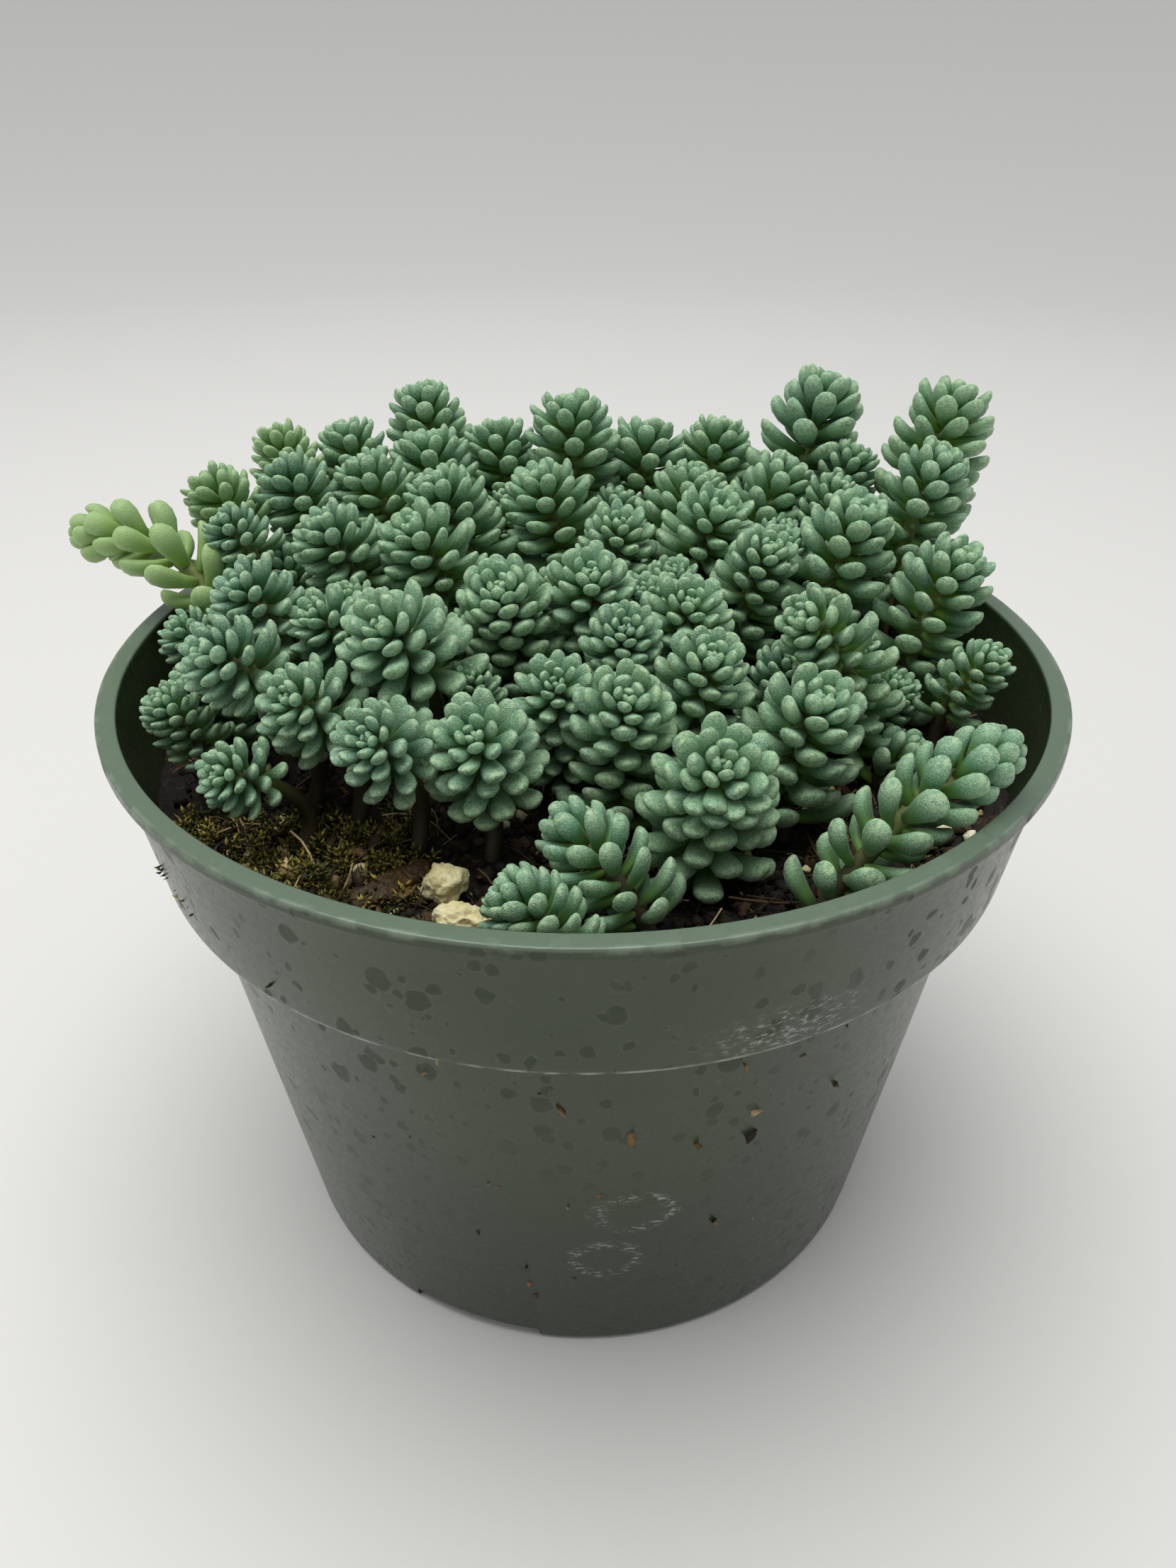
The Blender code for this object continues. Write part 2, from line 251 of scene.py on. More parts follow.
def makeStudio():
    camera = bpy.data.objects.new("camera", bpy.data.cameras.new("camera"))
    scene.collection.objects.link(camera)
    camera.location = studio["cameraPlace"]
    camera.rotation_euler = [math.radians(turn) for turn in studio["cameraTurn"]]
    camera.data.lens = studio["lens"]
    camera.data.sensor_width = 36
    camera.data.sensor_fit = "AUTO"
    camera.data.clip_start = 0.01
    scene.camera = camera

    paper = bpy.data.materials.new("palePaper")
    paper.use_nodes = True
    shader = paper.node_tree.nodes["Principled BSDF"]
    shader.inputs["Base Color"].default_value = studio["paper"]
    shader.inputs["Roughness"].default_value = 0.7
    # flat where the pot stands, and rising gently far out, so that no edge shows behind the plant
    bm = bmesh.new()
    loops = []
    for step in range(studio["floorRings"]):
        out = step / (studio["floorRings"] - 1)
        r = studio["floorFlat"] + (studio["floorRadius"] - studio["floorFlat"]) * out
        loops.append(ringOf(bm, r, studio["floorRise"] * out ** 2, studio["floorSides"]))
    bm.faces.new(loops[0])
    bridge(bm, loops[::-1])
    floor = newObject("floor", meshFrom("floor", bm), [paper])

    world = bpy.data.worlds.new("softRoom")
    world.use_nodes = True
    sky = world.node_tree.nodes["Background"]
    sky.inputs["Color"].default_value = studio["sky"]
    sky.inputs["Strength"].default_value = studio["skyLight"]
    scene.world = world
    scene.view_settings.view_transform = "Standard"

    for name, place, size, power in (
        ("topLight", studio["topLightPlace"], studio["topLightSize"], studio["topLightPower"]),
        ("sideLight", studio["sideLightPlace"], studio["sideLightSize"], studio["sideLightPower"]),
    ):
        light = bpy.data.lights.new(name, "AREA")
        light.shape = "DISK"
        light.size = size
        light.energy = power
        lamp = bpy.data.objects.new(name, light)
        scene.collection.objects.link(lamp)
        lamp.location = place
        lamp.rotation_euler = (Vector(studio["lightAim"]) - Vector(place)).to_track_quat("-Z", "Y").to_euler()


makeStudio()
say("camera, floor and light are set")


# shader groups that more than one finish uses

def makeGrainGroup():
    # fine and coarse mottling on Object coordinates
    tree, start, end = newTree("mottle", "ShaderNodeTree", (
        ("Coarse", "Float", 120), ("Fine", "Float", 900), ("Contrast", "Float", 1),
    ), (("Coarse", "Float"), ("Fine", "Float")))
    where = objectPlace(tree)
    for name in ("Coarse", "Fine"):
        cloud = addNode(
            tree, "ShaderNodeTexNoise", {"Vector": where, "Scale": pin(start, name), "Detail": 4.0},
        )
        spread = addNode(
            tree, "ShaderNodeMapRange", {"Value": cloud.outputs[0], "From Min": 0.3, "From Max": 0.7},
        )
        bent = maths(tree, "POWER", spread.outputs[0], pin(start, "Contrast"))
        wire(tree, bent, pin(end, name))
    return tree


def makeDropGroup():
    # dried drops: filled ovals and their thin rims
    tree, start, end = newTree("driedDrops", "ShaderNodeTree", (
        ("Scale", "Float", 200), ("Amount", "Float", 0.5), ("Rim", "Float", 0.07), ("Seed", "Float", 0),
    ), (("Fill", "Float"), ("Rim", "Float")))
    where = objectPlace(tree)
    shifted = vectorMaths(
        tree, "ADD", where, addNode(tree, "ShaderNodeCombineXYZ", {"X": pin(start, "Seed")}).outputs[0],
    )
    wobble = addNode(tree, "ShaderNodeTexNoise", {"Vector": shifted, "Scale": 420.0, "Detail": 1.0})
    push = scaled(tree, vectorMaths(tree, "SUBTRACT", wobble.outputs["Color"], 0.5), 0.0016)
    bent = vectorMaths(tree, "ADD", shifted, push)
    squeezed = vectorMaths(tree, "MULTIPLY", bent, (1, 1, 0.8))
    cells = addNode(
        tree, "ShaderNodeTexVoronoi", {"Vector": squeezed, "Scale": pin(start, "Scale"), "Randomness": 1.0},
    )
    pick = addNode(tree, "ShaderNodeSeparateColor", {0: cells.outputs["Color"]})
    size = plus(tree, times(tree, pick.outputs[0], 0.38), 0.06)
    chosen = maths(tree, "LESS_THAN", pick.outputs[1], pin(start, "Amount"))
    away = minus(tree, size, cells.outputs["Distance"])
    soft = addNode(tree, "ShaderNodeMapRange", {"Value": away, "From Min": 0.0, "From Max": 0.06})
    fill = times(tree, soft.outputs[0], chosen, clamp=True)
    near = maths(tree, "DIVIDE", maths(tree, "ABSOLUTE", away), pin(start, "Rim"))
    edge = minus(tree, 1.0, near, clamp=True)
    big = maths(tree, "GREATER_THAN", size, 0.12)
    rim = times(tree, times(tree, edge, chosen), big, clamp=True)
    wire(tree, fill, pin(end, "Fill"))
    wire(tree, rim, pin(end, "Rim"))
    return tree


mottle = makeGrainGroup()
driedDrops = makeDropGroup()


def useGroup(tree, group, **inputs):
    node = tree.nodes.new("ShaderNodeGroup")
    node.node_tree = group
    for name, value in inputs.items():
        wire(tree, value, pin(node.inputs, name))
    return node.outputs


def newFinish(name, roughness=0.5):
    finish = bpy.data.materials.new(name)
    finish.use_nodes = True
    tree = finish.node_tree
    shader = tree.nodes["Principled BSDF"]
    shader.inputs["Roughness"].default_value = roughness
    return finish, tree, shader.inputs


def blended(tree, mask, low, high, mode="MIX"):
    node = tree.nodes.new("ShaderNodeMix")
    node.data_type = "RGBA"
    node.blend_type = mode
    node.clamp_factor = True
    for socket, value in ((node.inputs[0], mask), (node.inputs[6], low), (node.inputs[7], high)):
        if isinstance(value, tuple) and len(value) == 3:
            value = (*value, 1)
        wire(tree, value, socket)
    return node.outputs[2]


def tinted(tree, base, mask, share, colour):
    return blended(tree, times(tree, mask, share), base, colour)


def ranged(tree, value, low, high, toLow=0.0, toHigh=1.0, smooth=True):
    node = addNode(tree, "ShaderNodeMapRange", {
        "Value": value, "From Min": low, "From Max": high, "To Min": toLow, "To Max": toHigh,
    }, interpolation_type="SMOOTHSTEP" if smooth else "LINEAR")
    return node.outputs[0]


def bumped(tree, height, strength, distance, normal=None):
    inputs = {"Height": height, "Strength": strength, "Distance": distance}
    if normal is not None:
        inputs["Normal"] = normal
    return addNode(tree, "ShaderNodeBump", inputs).outputs[0]


def drawn(tree, low, high, seed, kind="FLOAT"):
    # a random value for each point
    node = addNode(tree, "FunctionNodeRandomValue", {"Min": low, "Max": high, "Seed": seed}, data_type=kind)
    return pin(node.outputs, "Value")


def stored(tree, geometry, name, value):
    return addNode(
        tree, "GeometryNodeStoreNamedAttribute", {"Geometry": geometry, "Name": name, "Value": value},
        data_type="FLOAT", domain="INSTANCE",
    ).outputs[0]


def painted(tree, geometry, finish):
    return addNode(tree, "GeometryNodeSetMaterial", {"Geometry": geometry, "Material": finish}).outputs[0]


def attribute(tree, name):
    return addNode(tree, "ShaderNodeAttribute", attribute_name=name).outputs["Fac"]


# the pot

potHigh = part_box("pot")[1]
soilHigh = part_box("soil")[1]
pot = {
    "height": potHigh.z,
    "lipRadius": potHigh.x,
    "lipWidth": 3 * mm,
    "lipThickness": 2 * mm,
    "lipOverhang": 1.6 * mm,
    "collarHeight": 25.4 * mm,
    "collarTaper": 3.8 * mm,
    "stepWidth": 4.2 * mm,
    "bodyTaper": 10.8 * mm,
    "wall": 1.4 * mm,
    "floorLift": 3.2 * mm,
    "floorThickness": 1.6 * mm,
    "footWidth": 5.5 * mm,
    "padRadius": 14.5 * mm,
    "gapSize": (23 * mm, 2.9 * mm),
    "gapFirst": -110,
    "holeRadius": 4 * mm,
    "holeCircle": 33 * mm,
    "holeFirst": 17,
    "steps": 192,
    "lipWaver": 0.1 * mm,
}
collarTop = pot["lipRadius"] - pot["lipOverhang"]
collarBottom = collarTop - pot["collarTaper"]
bodyTop = collarBottom - pot["stepWidth"]
bodyBottom = bodyTop - pot["bodyTaper"]
stepHeight = pot["height"] - pot["collarHeight"]
lipInner = pot["lipRadius"] - pot["lipWidth"]
potFloor = pot["floorLift"] + pot["floorThickness"]


def roundedProfile(corners):
    # (radius, height, rounding): each rounded corner becomes a short arc of points
    points = []
    for i, (r, z, turn) in enumerate(corners):
        here = Vector((r, z))
        if turn == 0 or i in (0, len(corners) - 1):
            points.append(here)
            continue
        before = Vector(corners[i - 1][:2]) - here
        after = Vector(corners[i + 1][:2]) - here
        start = here + before.normalized() * turn
        stop = here + after.normalized() * turn
        for k in range(5):
            t = k / 4
            points.append((1 - t) ** 2 * start + 2 * t * (1 - t) * here + t * t * stop)
    return points


def makePotMesh():
    wall = pot["wall"]
    high = pot["height"]
    corners = [
        (0, potFloor, 0),
        (bodyBottom - wall, potFloor, 1.5 * mm),
        ((bodyBottom + bodyTop) / 2 - wall, (potFloor + stepHeight) / 2, 0),
        (bodyTop - wall, stepHeight + wall, 0.5 * mm),
        (collarBottom - wall, stepHeight + wall, 0.8 * mm),
        (lipInner - 0.1 * mm, high - 2.2 * mm, 0.8 * mm),
        (lipInner, high, 0.35 * mm),
        (pot["lipRadius"], high, 0.4 * mm),
        (pot["lipRadius"], high - pot["lipThickness"], 0.45 * mm),
        (collarTop, high - pot["lipThickness"] - 0.1 * mm, 0.5 * mm),
        ((collarTop + collarBottom) / 2 + 0.15 * mm, (high + stepHeight) / 2, 4 * mm),
        (collarBottom + 0.35 * mm, stepHeight + 1.1 * mm, 0.5 * mm),
        (collarBottom, stepHeight, 0.6 * mm),
        (bodyTop, stepHeight, 0.6 * mm),
        ((bodyTop + bodyBottom) / 2, stepHeight / 2, 0),
        (bodyBottom, 0.9 * mm, 0.6 * mm),
        (bodyBottom - 0.9 * mm, 0, 0.4 * mm),
        (bodyBottom - pot["footWidth"], 0, 0.35 * mm),
        (bodyBottom - pot["footWidth"], pot["floorLift"], 0.4 * mm),
        (pot["padRadius"], pot["floorLift"], 0.4 * mm),
        (pot["padRadius"], 0, 0.4 * mm),
        (0, 0, 0),
    ]
    bm = bmesh.new()
    loops = []
    for point in roundedProfile(corners):
        if point.x < 1e-6:
            loops.append([bm.verts.new((0, 0, point.y))])
            continue
        ring = []
        for k in range(pot["steps"]):
            angle = k * math.tau / pot["steps"]
            # the thin rim of a moulded pot is never quite round
            lift = max(0, (point.y - stepHeight) / pot["collarHeight"])
            waver = pot["lipWaver"] * lift * (math.sin(3 * angle + 0.6) + 0.5 * math.sin(5 * angle + 2)) / 1.5
            r = point.x + min(waver, 0) if point.x > lipInner + mm else point.x + waver * 0.6
            ring.append(bm.verts.new((r * math.cos(angle), r * math.sin(angle), point.y)))
        loops.append(ring)
    for lower, upper in zip(loops, loops[1:]):
        for k in range(pot["steps"]):
            n = (k + 1) % pot["steps"]
            if len(lower) == 1:
                bm.faces.new((lower[0], upper[n], upper[k]))
            elif len(upper) == 1:
                bm.faces.new((lower[k], lower[n], upper[0]))
            else:
                bm.faces.new((lower[k], lower[n], upper[n], upper[k]))
    bmesh.ops.recalc_face_normals(bm, faces=bm.faces)
    return meshFrom("nursery_pot", bm)


def makeCutters():
    bm = bmesh.new()
    width, height = pot["gapSize"]
    for i in range(4):
        turn = Matrix.Rotation(math.radians(pot["gapFirst"] + 90 * i), 4, "Z")
        place = turn @ Matrix.Translation((bodyBottom, 0, 0)) @ Matrix.Diagonal(
            (16 * mm, width, 2 * height, 1),
        )
        bmesh.ops.create_cube(bm, size=1, matrix=place)
    for i in range(6):
        turn = Matrix.Rotation(math.radians(pot["holeFirst"] + 60 * i), 4, "Z")
        place = turn @ Matrix.Translation((pot["holeCircle"], 0, potFloor))
        bmesh.ops.create_cone(
            bm, cap_ends=True, segments=32, radius1=pot["holeRadius"], radius2=pot["holeRadius"],
            depth=8 * mm, matrix=place,
        )
    return newObject("potCutters", meshFrom("potCutters", bm, smooth=False))


def makePlastic():
    finish, tree, shader = newFinish("greenPlastic", 0.42)
    where = objectPlace(tree)
    axes = addNode(tree, "ShaderNodeSeparateXYZ", {0: where}).outputs
    height = axes[2]
    cloud = useGroup(tree, mottle, Coarse=28.0, Fine=900.0, Contrast=1.0)
    drops = useGroup(tree, driedDrops, Scale=200.0, Amount=0.75, Rim=0.018, Seed=0.0)
    fineDrops = useGroup(tree, driedDrops, Scale=380.0, Amount=0.7, Rim=0.03, Seed=0.31)
    # drops dry mostly on the collar and the top of the body, in drifts
    drift = clouds(tree, where, 22.0, 2.0)
    upper = ranged(tree, height, 0.03, stepHeight, 0.25, 1.0)
    drifted = times(tree, upper, ranged(tree, drift, 0.34, 0.5))
    fill = times(tree, maths(tree, "MAXIMUM", drops[0], fineDrops[0]), drifted)
    rim = times(tree, maths(tree, "MAXIMUM", drops[1], fineDrops[1]), drifted)
    # painted shade: the body darkens towards the floor it stands on
    low = ranged(tree, height, 0.0, stepHeight, 0.95, 0.1)
    base = blended(tree, cloud[0], (0.028, 0.045, 0.018), (0.040, 0.058, 0.026))
    base = blended(tree, low, base, (0.010, 0.021, 0.005))
    base = tinted(tree, base, fill, 0.36, (0.014, 0.024, 0.011))
    base = tinted(tree, base, rim, 0.3, (0.10, 0.12, 0.09))
    # painted light on the lip's top face, and a pale outer edge that is partly wear, partly a painted
    # highlight
    # painted light: the lip's top face is made paler than the rest of the plastic
    lip = ranged(tree, height, pot["height"] - 0.7 * mm, pot["height"] - 0.2 * mm)
    base = tinted(tree, base, lip, 0.75, (0.14, 0.20, 0.14))
    radius = vectorMaths(
        tree, "LENGTH", addNode(tree, "ShaderNodeCombineXYZ", {"X": axes[0], "Y": axes[1]}).outputs[0],
    )
    # the lip's pale outer edge: partly wear, partly a painted highlight along the rounded rim
    outer = ranged(tree, radius, pot["lipRadius"] - 0.9 * mm, pot["lipRadius"] - 0.35 * mm)
    high = ranged(tree, height, pot["height"] - 1.2 * mm, pot["height"] - 0.6 * mm)
    broken = clouds(tree, where, 260.0, 5.0)
    wornAndLitEdge = times(tree, times(tree, outer, high), ranged(tree, broken, 0.42, 0.6))
    base = tinted(tree, base, wornAndLitEdge, 0.3, (0.30, 0.37, 0.28))
    # chalk line along the collar's lower edge, and chalky scuffs
    offEdge = maths(tree, "ABSOLUTE", minus(tree, height, stepHeight + 0.5 * mm))
    line = minus(tree, 1.0, ranged(tree, offEdge, 0.1 * mm, 0.55 * mm))
    outside = ranged(tree, radius, collarBottom - 0.7 * mm, collarBottom - 0.2 * mm)
    line = times(tree, times(tree, line, outside), ranged(tree, broken, 0.36, 0.62))
    base = tinted(tree, base, line, 0.75, (0.40, 0.43, 0.38))
    streaky = addNode(tree, "ShaderNodeMapping", {"Vector": where, "Scale": (1, 1, 2.4)}).outputs[0]
    chalk = addNode(
        tree, "ShaderNodeTexNoise", {"Vector": streaky, "Scale": 700.0, "Detail": 6.0, "Roughness": 0.7},
    ).outputs[0]
    total = None
    for place, reach, amount, hollow in potScuffs:
        shift = vectorMaths(tree, "SUBTRACT", where, place)
        away = vectorMaths(tree, "LENGTH", vectorMaths(tree, "DIVIDE", shift, reach))
        patch = times(tree, ranged(tree, away, 1.0, 0.7 if hollow else 0.3), amount)
        if hollow:
            patch = times(tree, patch, ranged(tree, away, 0.45, 0.8))
        total = patch if total is None else plus(tree, total, patch)
    scuff = times(tree, total, ranged(tree, chalk, 0.5, 0.66))
    base = blended(tree, scuff, base, (0.42, 0.43, 0.40))
    wire(tree, base, pin(shader, "Base Color"))
    rough = ranged(tree, cloud[1], 0.0, 1.0, 0.24, 0.33)
    rough = plus(tree, rough, times(tree, fill, 0.28))
    rough = plus(tree, rough, times(tree, scuff, 0.3), clamp=True)
    wire(tree, rough, pin(shader, "Roughness"))
    soft = clouds(tree, where, 60.0, 3.0)
    normal = bumped(tree, soft, 0.05, 0.0003)
    normal = bumped(tree, plus(tree, times(tree, cloud[1], 0.4), rim), 0.3, 0.00006, normal)
    wire(tree, normal, pin(shader, "Normal"))
    return finish


def onWall(degrees, height):
    # a point on the outside of the wall
    if height > stepHeight:
        r = collarBottom + (collarTop - collarBottom) * (height - stepHeight) / pot["collarHeight"]
    else:
        r = bodyBottom + (bodyTop - bodyBottom) * height / stepHeight
    angle = math.radians(degrees)
    return Vector((r * math.cos(angle), r * math.sin(angle), height))


# where chalk and scuffs sit on the wall: place, reach each way, strength, and whether only the outline shows
potScuffs = (
    (tuple(onWall(-68, 0.084)), (0.016, 0.010, 0.006), 0.9, False),
    (tuple(onWall(-83, 0.040)), (0.008, 0.008, 0.006), 1.0, True),
    (tuple(onWall(-87, 0.027)), (0.007, 0.008, 0.006), 1.0, True),
    (tuple(onWall(-96, 0.077)), (0.008, 0.006, 0.003), 0.7, True),
    (tuple(onWall(-38, 0.092)), (0.006, 0.006, 0.004), 0.5, False),
)

plastic = makePlastic()
potPiece = newObject("nursery_pot", makePotMesh(), [plastic])
cutters = makeCutters()
boolean = potPiece.modifiers.new("gapsAndHoles", "BOOLEAN")
boolean.object = cutters
boolean.solver = "EXACT"
settle(potPiece)
bpy.data.objects.remove(cutters, do_unlink=True)
sharpen(potPiece.data, 40)
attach(potPiece, "root")
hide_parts("pot")
say("pot made")


# where each shoot grows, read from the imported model

def curveAt(root, bend, tip, t):
    return (1 - t) ** 2 * root + 2 * t * (1 - t) * bend + t * t * tip


crownShare = 0.64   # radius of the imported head's first ring, as a share of the head's


def readShoot(name):
    mesh = nodes[name].data
    corners = np.array([v.co for v in mesh.vertices])
    points, index = np.unique(corners.round(6), axis=0, return_inverse=True)
    faces = index.reshape(-1)[np.array([p.vertices[:] for p in mesh.polygons])]
    root = points[points[:, 2] < points[:, 2].min() + 0.2 * mm].mean(0)
    # the crown is the one point that a whole ring of faces meets at
    meets = np.bincount(faces.reshape(-1), minlength=len(points)) * (points[:, 2] > points[:, 2].min() + mm)
    crown = meets.argmax()
    tip = points[crown]
    ring = points[np.setdiff1d(faces[(faces == crown).any(1)], [crown])]
    ringCentre = ring.mean(0)
    radius = np.linalg.norm(ring - ringCentre, axis=1).max() / crownShare
    heading = (tip - ringCentre) / np.linalg.norm(tip - ringCentre)
    best = None
    for share in np.linspace(0.2, 0.95, 26):
        bend = tip - heading * share * np.linalg.norm(tip - root)
        line = np.array([curveAt(root, bend, tip, t) for t in np.linspace(0, 1, 30)])
        miss = np.linalg.norm(points[:, None] - line[None], axis=2).min(1).sum()
        if best is None or miss < best[0]:
            best = (miss, bend)
    return {
        "name": name,
        "root": Vector(root),
        "bend": Vector(best[1]),
        "tip": Vector(tip),
        "radius": float(radius),
    }


shoots = [readShoot(name) for name in sorted(nodes) if name.startswith("shoot_")]
say(f"{len(shoots)} shoots read")


# leaf shapes

# (share of the length, half width, half thickness, bow towards the upper face), as shares of the length
leafShapes = {
    "leafShape1": (
        (0.0, 0.15, 0.12, 0.0),
        (0.30, 0.20, 0.17, -0.02),
        (0.60, 0.255, 0.20, 0.0),
        (0.82, 0.245, 0.19, 0.025),
        (0.945, 0.175, 0.14, 0.055),
        (0.988, 0.09, 0.075, 0.07),
    ),
    "leafShape2": (
        (0.0, 0.12, 0.10, 0.0),
        (0.30, 0.17, 0.14, -0.04),
        (0.60, 0.245, 0.18, -0.04),
        (0.82, 0.25, 0.18, 0.0),
        (0.945, 0.18, 0.135, 0.04),
        (0.988, 0.09, 0.07, 0.06),
    ),
    "leafShape3": (
        (0.0, 0.12, 0.10, 0.0),
        (0.30, 0.18, 0.14, -0.035),
        (0.58, 0.24, 0.175, -0.035),
        (0.79, 0.235, 0.165, 0.005),
        (0.93, 0.155, 0.12, 0.05),
        (0.984, 0.075, 0.06, 0.075),
    ),
}
leafSides = 12
upperShare = 0.7   # the upper face is flatter than the lower one


def makeLeafShapes():
    shelf = bpy.data.collections.new("leafShapes")
    for name, rings in leafShapes.items():
        bm = bmesh.new()
        along = bm.verts.layers.float.new("along")
        loops = []
        for share, wide, thick, bow in rings:
            loop = []
            for k in range(leafSides):
                angle = (k + 0.5) * math.tau / leafSides
                x = wide * math.cos(angle)
                y = thick * math.sin(angle)
                if y > 0:
                    y *= upperShare
                vert = bm.verts.new((x, y + bow, share))
                vert[along] = share
                loop.append(vert)
            loops.append(loop)
        tip = bm.verts.new((0, rings[-1][3] + 0.012, 1.0))
        tip[along] = 1.0
        foot = bm.verts.new((0, 0, -0.03))
        bridge(bm, loops)
        for k in range(leafSides):
            n = (k + 1) % leafSides
            bm.faces.new((loops[-1][k], loops[-1][n], tip))
            bm.faces.new((loops[0][n], loops[0][k], foot))
        bmesh.ops.recalc_face_normals(bm, faces=bm.faces)
        shelf.objects.link(bpy.data.objects.new(name, meshFrom(name, bm)))
    return shelf


shelf = makeLeafShapes()


# the tree that grows one shoot

growth = {
    "goldenAngle": 137.508,
    "firstGap": 0.008,      # gap between leaves at the tip, as a share of the head's radius
    "gapGrowth": 0.0005,
    "closedAngle": 5,
    "openAngle": 98,
    "openingAge": 22,
    "leafLength": (0.17, 0.74),   # at the tip, and what age adds, as shares of the radius
    "lengthAge": 10,
    "lengthening": 0.003,
    "leafWidth": (0.25, 0.52),
    "widthAge": 10,
    "tipDrop": 0.32,
    "fullness": 1.08,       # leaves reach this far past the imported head's radius
    "stemRadius": 1.25 * mm,
    "seed": 11,
    "oldAge": 45.0,         # the leaf, counted from the tip, that looks fully old
    "youngLeaves": 9,       # this many at the tip have the short blunt shape
}


def makeShootTree():
    tree, start, end = newTree("leafyShoot", "GeometryNodeTree", (
        ("Axis", "Geometry", None), ("Leaves", "Int", 40), ("Head Radius", "Float", 0.007),
        ("First Gap", "Float", growth["firstGap"]), ("Gap Growth", "Float", growth["gapGrowth"]),
        ("Open Angle", "Float", growth["openAngle"]), ("Plumpness", "Float", 1.0), ("Turn", "Float", 0.0),
        ("Seed", "Int", 0), ("Tone", "Float", 0.5), ("Stem Radius", "Float", growth["stemRadius"]),
        ("Leaf Shapes", "Collection", None), ("Leaf Finish", "Material", None),
        ("Stem Finish", "Material", None),
    ), (("Shoot", "Geometry"),))
    take = lambda name: pin(start, name)
    curve = addNode(tree, "GeometryNodeMeshToCurve", {"Mesh": take("Axis")}).outputs[0]
    points = addNode(tree, "GeometryNodePoints", {"Count": take("Leaves")}).outputs[0]
    index = addNode(tree, "GeometryNodeInputIndex").outputs[0]
    radius = take("Head Radius")
    # how far down the stem each leaf sits
    square = times(tree, index, index)
    even = times(tree, index, take("First Gap"))
    down = times(tree, radius, plus(tree, even, times(tree, square, take("Gap Growth"))))
    sample = addNode(
        tree, "GeometryNodeSampleCurve", {"Curves": curve, "Length": down}, mode="LENGTH",
    ).outputs
    place, tangent, normal = (pin(sample, name) for name in ("Position", "Tangent", "Normal"))

    def chance(low, high, seedStep):
        return drawn(tree, low, high, plus(tree, take("Seed"), seedStep))

    turn = plus(tree, take("Turn"), times(tree, index, math.radians(growth["goldenAngle"])))
    turn = plus(tree, turn, chance(-0.06, 0.06, 1))
    outward = addNode(
        tree,
        "ShaderNodeVectorRotate",
        {"Vector": normal, "Axis": tangent, "Angle": turn},
        rotation_type="AXIS_ANGLE",
    ).outputs[0]
    upward = scaled(tree, tangent, -1.0)

    def aged(rate):
        # 0 for the newest leaf, near 1 for an old one
        return minus(tree, 1.0, maths(tree, "EXPONENT", maths(tree, "DIVIDE", index, -rate)))

    opening = times(tree, aged(growth["openingAge"]), minus(tree, take("Open Angle"), growth["closedAngle"]))
    opening = plus(tree, plus(tree, opening, growth["closedAngle"]), chance(-3.5, 3.5, 2))
    opening = maths(tree, "RADIANS", opening)
    rise = maths(tree, "COSINE", opening)
    reach = maths(tree, "SINE", opening)
    direction = vectorMaths(tree, "ADD", scaled(tree, upward, rise), scaled(tree, outward, reach))
    face = vectorMaths(tree, "SUBTRACT", scaled(tree, upward, reach), scaled(tree, outward, rise))
    turned = addNode(
        tree,
        "FunctionNodeAxesToRotation",
        {"Primary Axis": direction, "Secondary Axis": face},
        primary_axis="Z",
        secondary_axis="Y",
    ).outputs[0]
    roll = addNode(
        tree, "FunctionNodeAxisAngleToRotation", {"Axis": (0, 0, 1), "Angle": chance(-0.16, 0.16, 3)},
    ).outputs[0]
    turned = addNode(
        tree, "FunctionNodeRotateRotation", {"Rotation": turned, "Rotate By": roll}, rotation_space="LOCAL",
    ).outputs[0]

    first, added = growth["leafLength"]
    length = plus(tree, times(tree, aged(growth["lengthAge"]), added), first)
    length = plus(tree, length, times(tree, index, growth["lengthening"]))
    length = times(tree, times(tree, length, radius), chance(0.9, 1.08, 4))
    first, added = growth["leafWidth"]
    wide = plus(tree, times(tree, aged(growth["widthAge"]), added), first)
    wide = plus(tree, wide, times(tree, index, growth["lengthening"]))
    wide = times(tree, times(tree, wide, radius), times(tree, take("Plumpness"), chance(0.92, 1.08, 5)))
    size = addNode(tree, "ShaderNodeCombineXYZ", {"X": wide, "Y": wide, "Z": length}).outputs[0]
    # leaves spring from the surface of the stem
    offset = times(tree, times(tree, take("Stem Radius"), 0.7), aged(6.0))
    place = vectorMaths(tree, "ADD", place, scaled(tree, outward, offset))
    placed = addNode(tree, "GeometryNodeSetPosition", {"Geometry": points, "Position": place}).outputs[0]

    shapes = addNode(
        tree,
        "GeometryNodeCollectionInfo",
        {"Collection": take("Leaf Shapes"), "Separate Children": True, "Reset Children": True},
    ).outputs[0]
    pick = drawn(tree, 1, 2, take("Seed"), "INT")
    young = addNode(
        tree,
        "FunctionNodeCompare",
        {"A": index, "B": growth["youngLeaves"]},
        data_type="INT",
        operation="LESS_THAN",
    ).outputs[0]
    choice = addNode(
        tree, "GeometryNodeSwitch", {"Switch": young, "False": pick, "True": 0}, input_type="INT",
    ).outputs[0]
    leaves = addNode(tree, "GeometryNodeInstanceOnPoints", {
        "Points": placed, "Instance": shapes, "Pick Instance": True, "Instance Index": choice,
        "Rotation": turned, "Scale": size,
    }).outputs[0]
    age = maths(tree, "DIVIDE", index, growth["oldAge"], clamp=True)
    for name, value in (("leafAge", age), ("leafTone", chance(0.0, 1.0, 6)), ("shootTone", take("Tone"))):
        leaves = stored(tree, leaves, name, value)
    leaves = addNode(tree, "GeometryNodeRealizeInstances", {"Geometry": leaves}).outputs[0]
    leaves = painted(tree, leaves, take("Leaf Finish"))

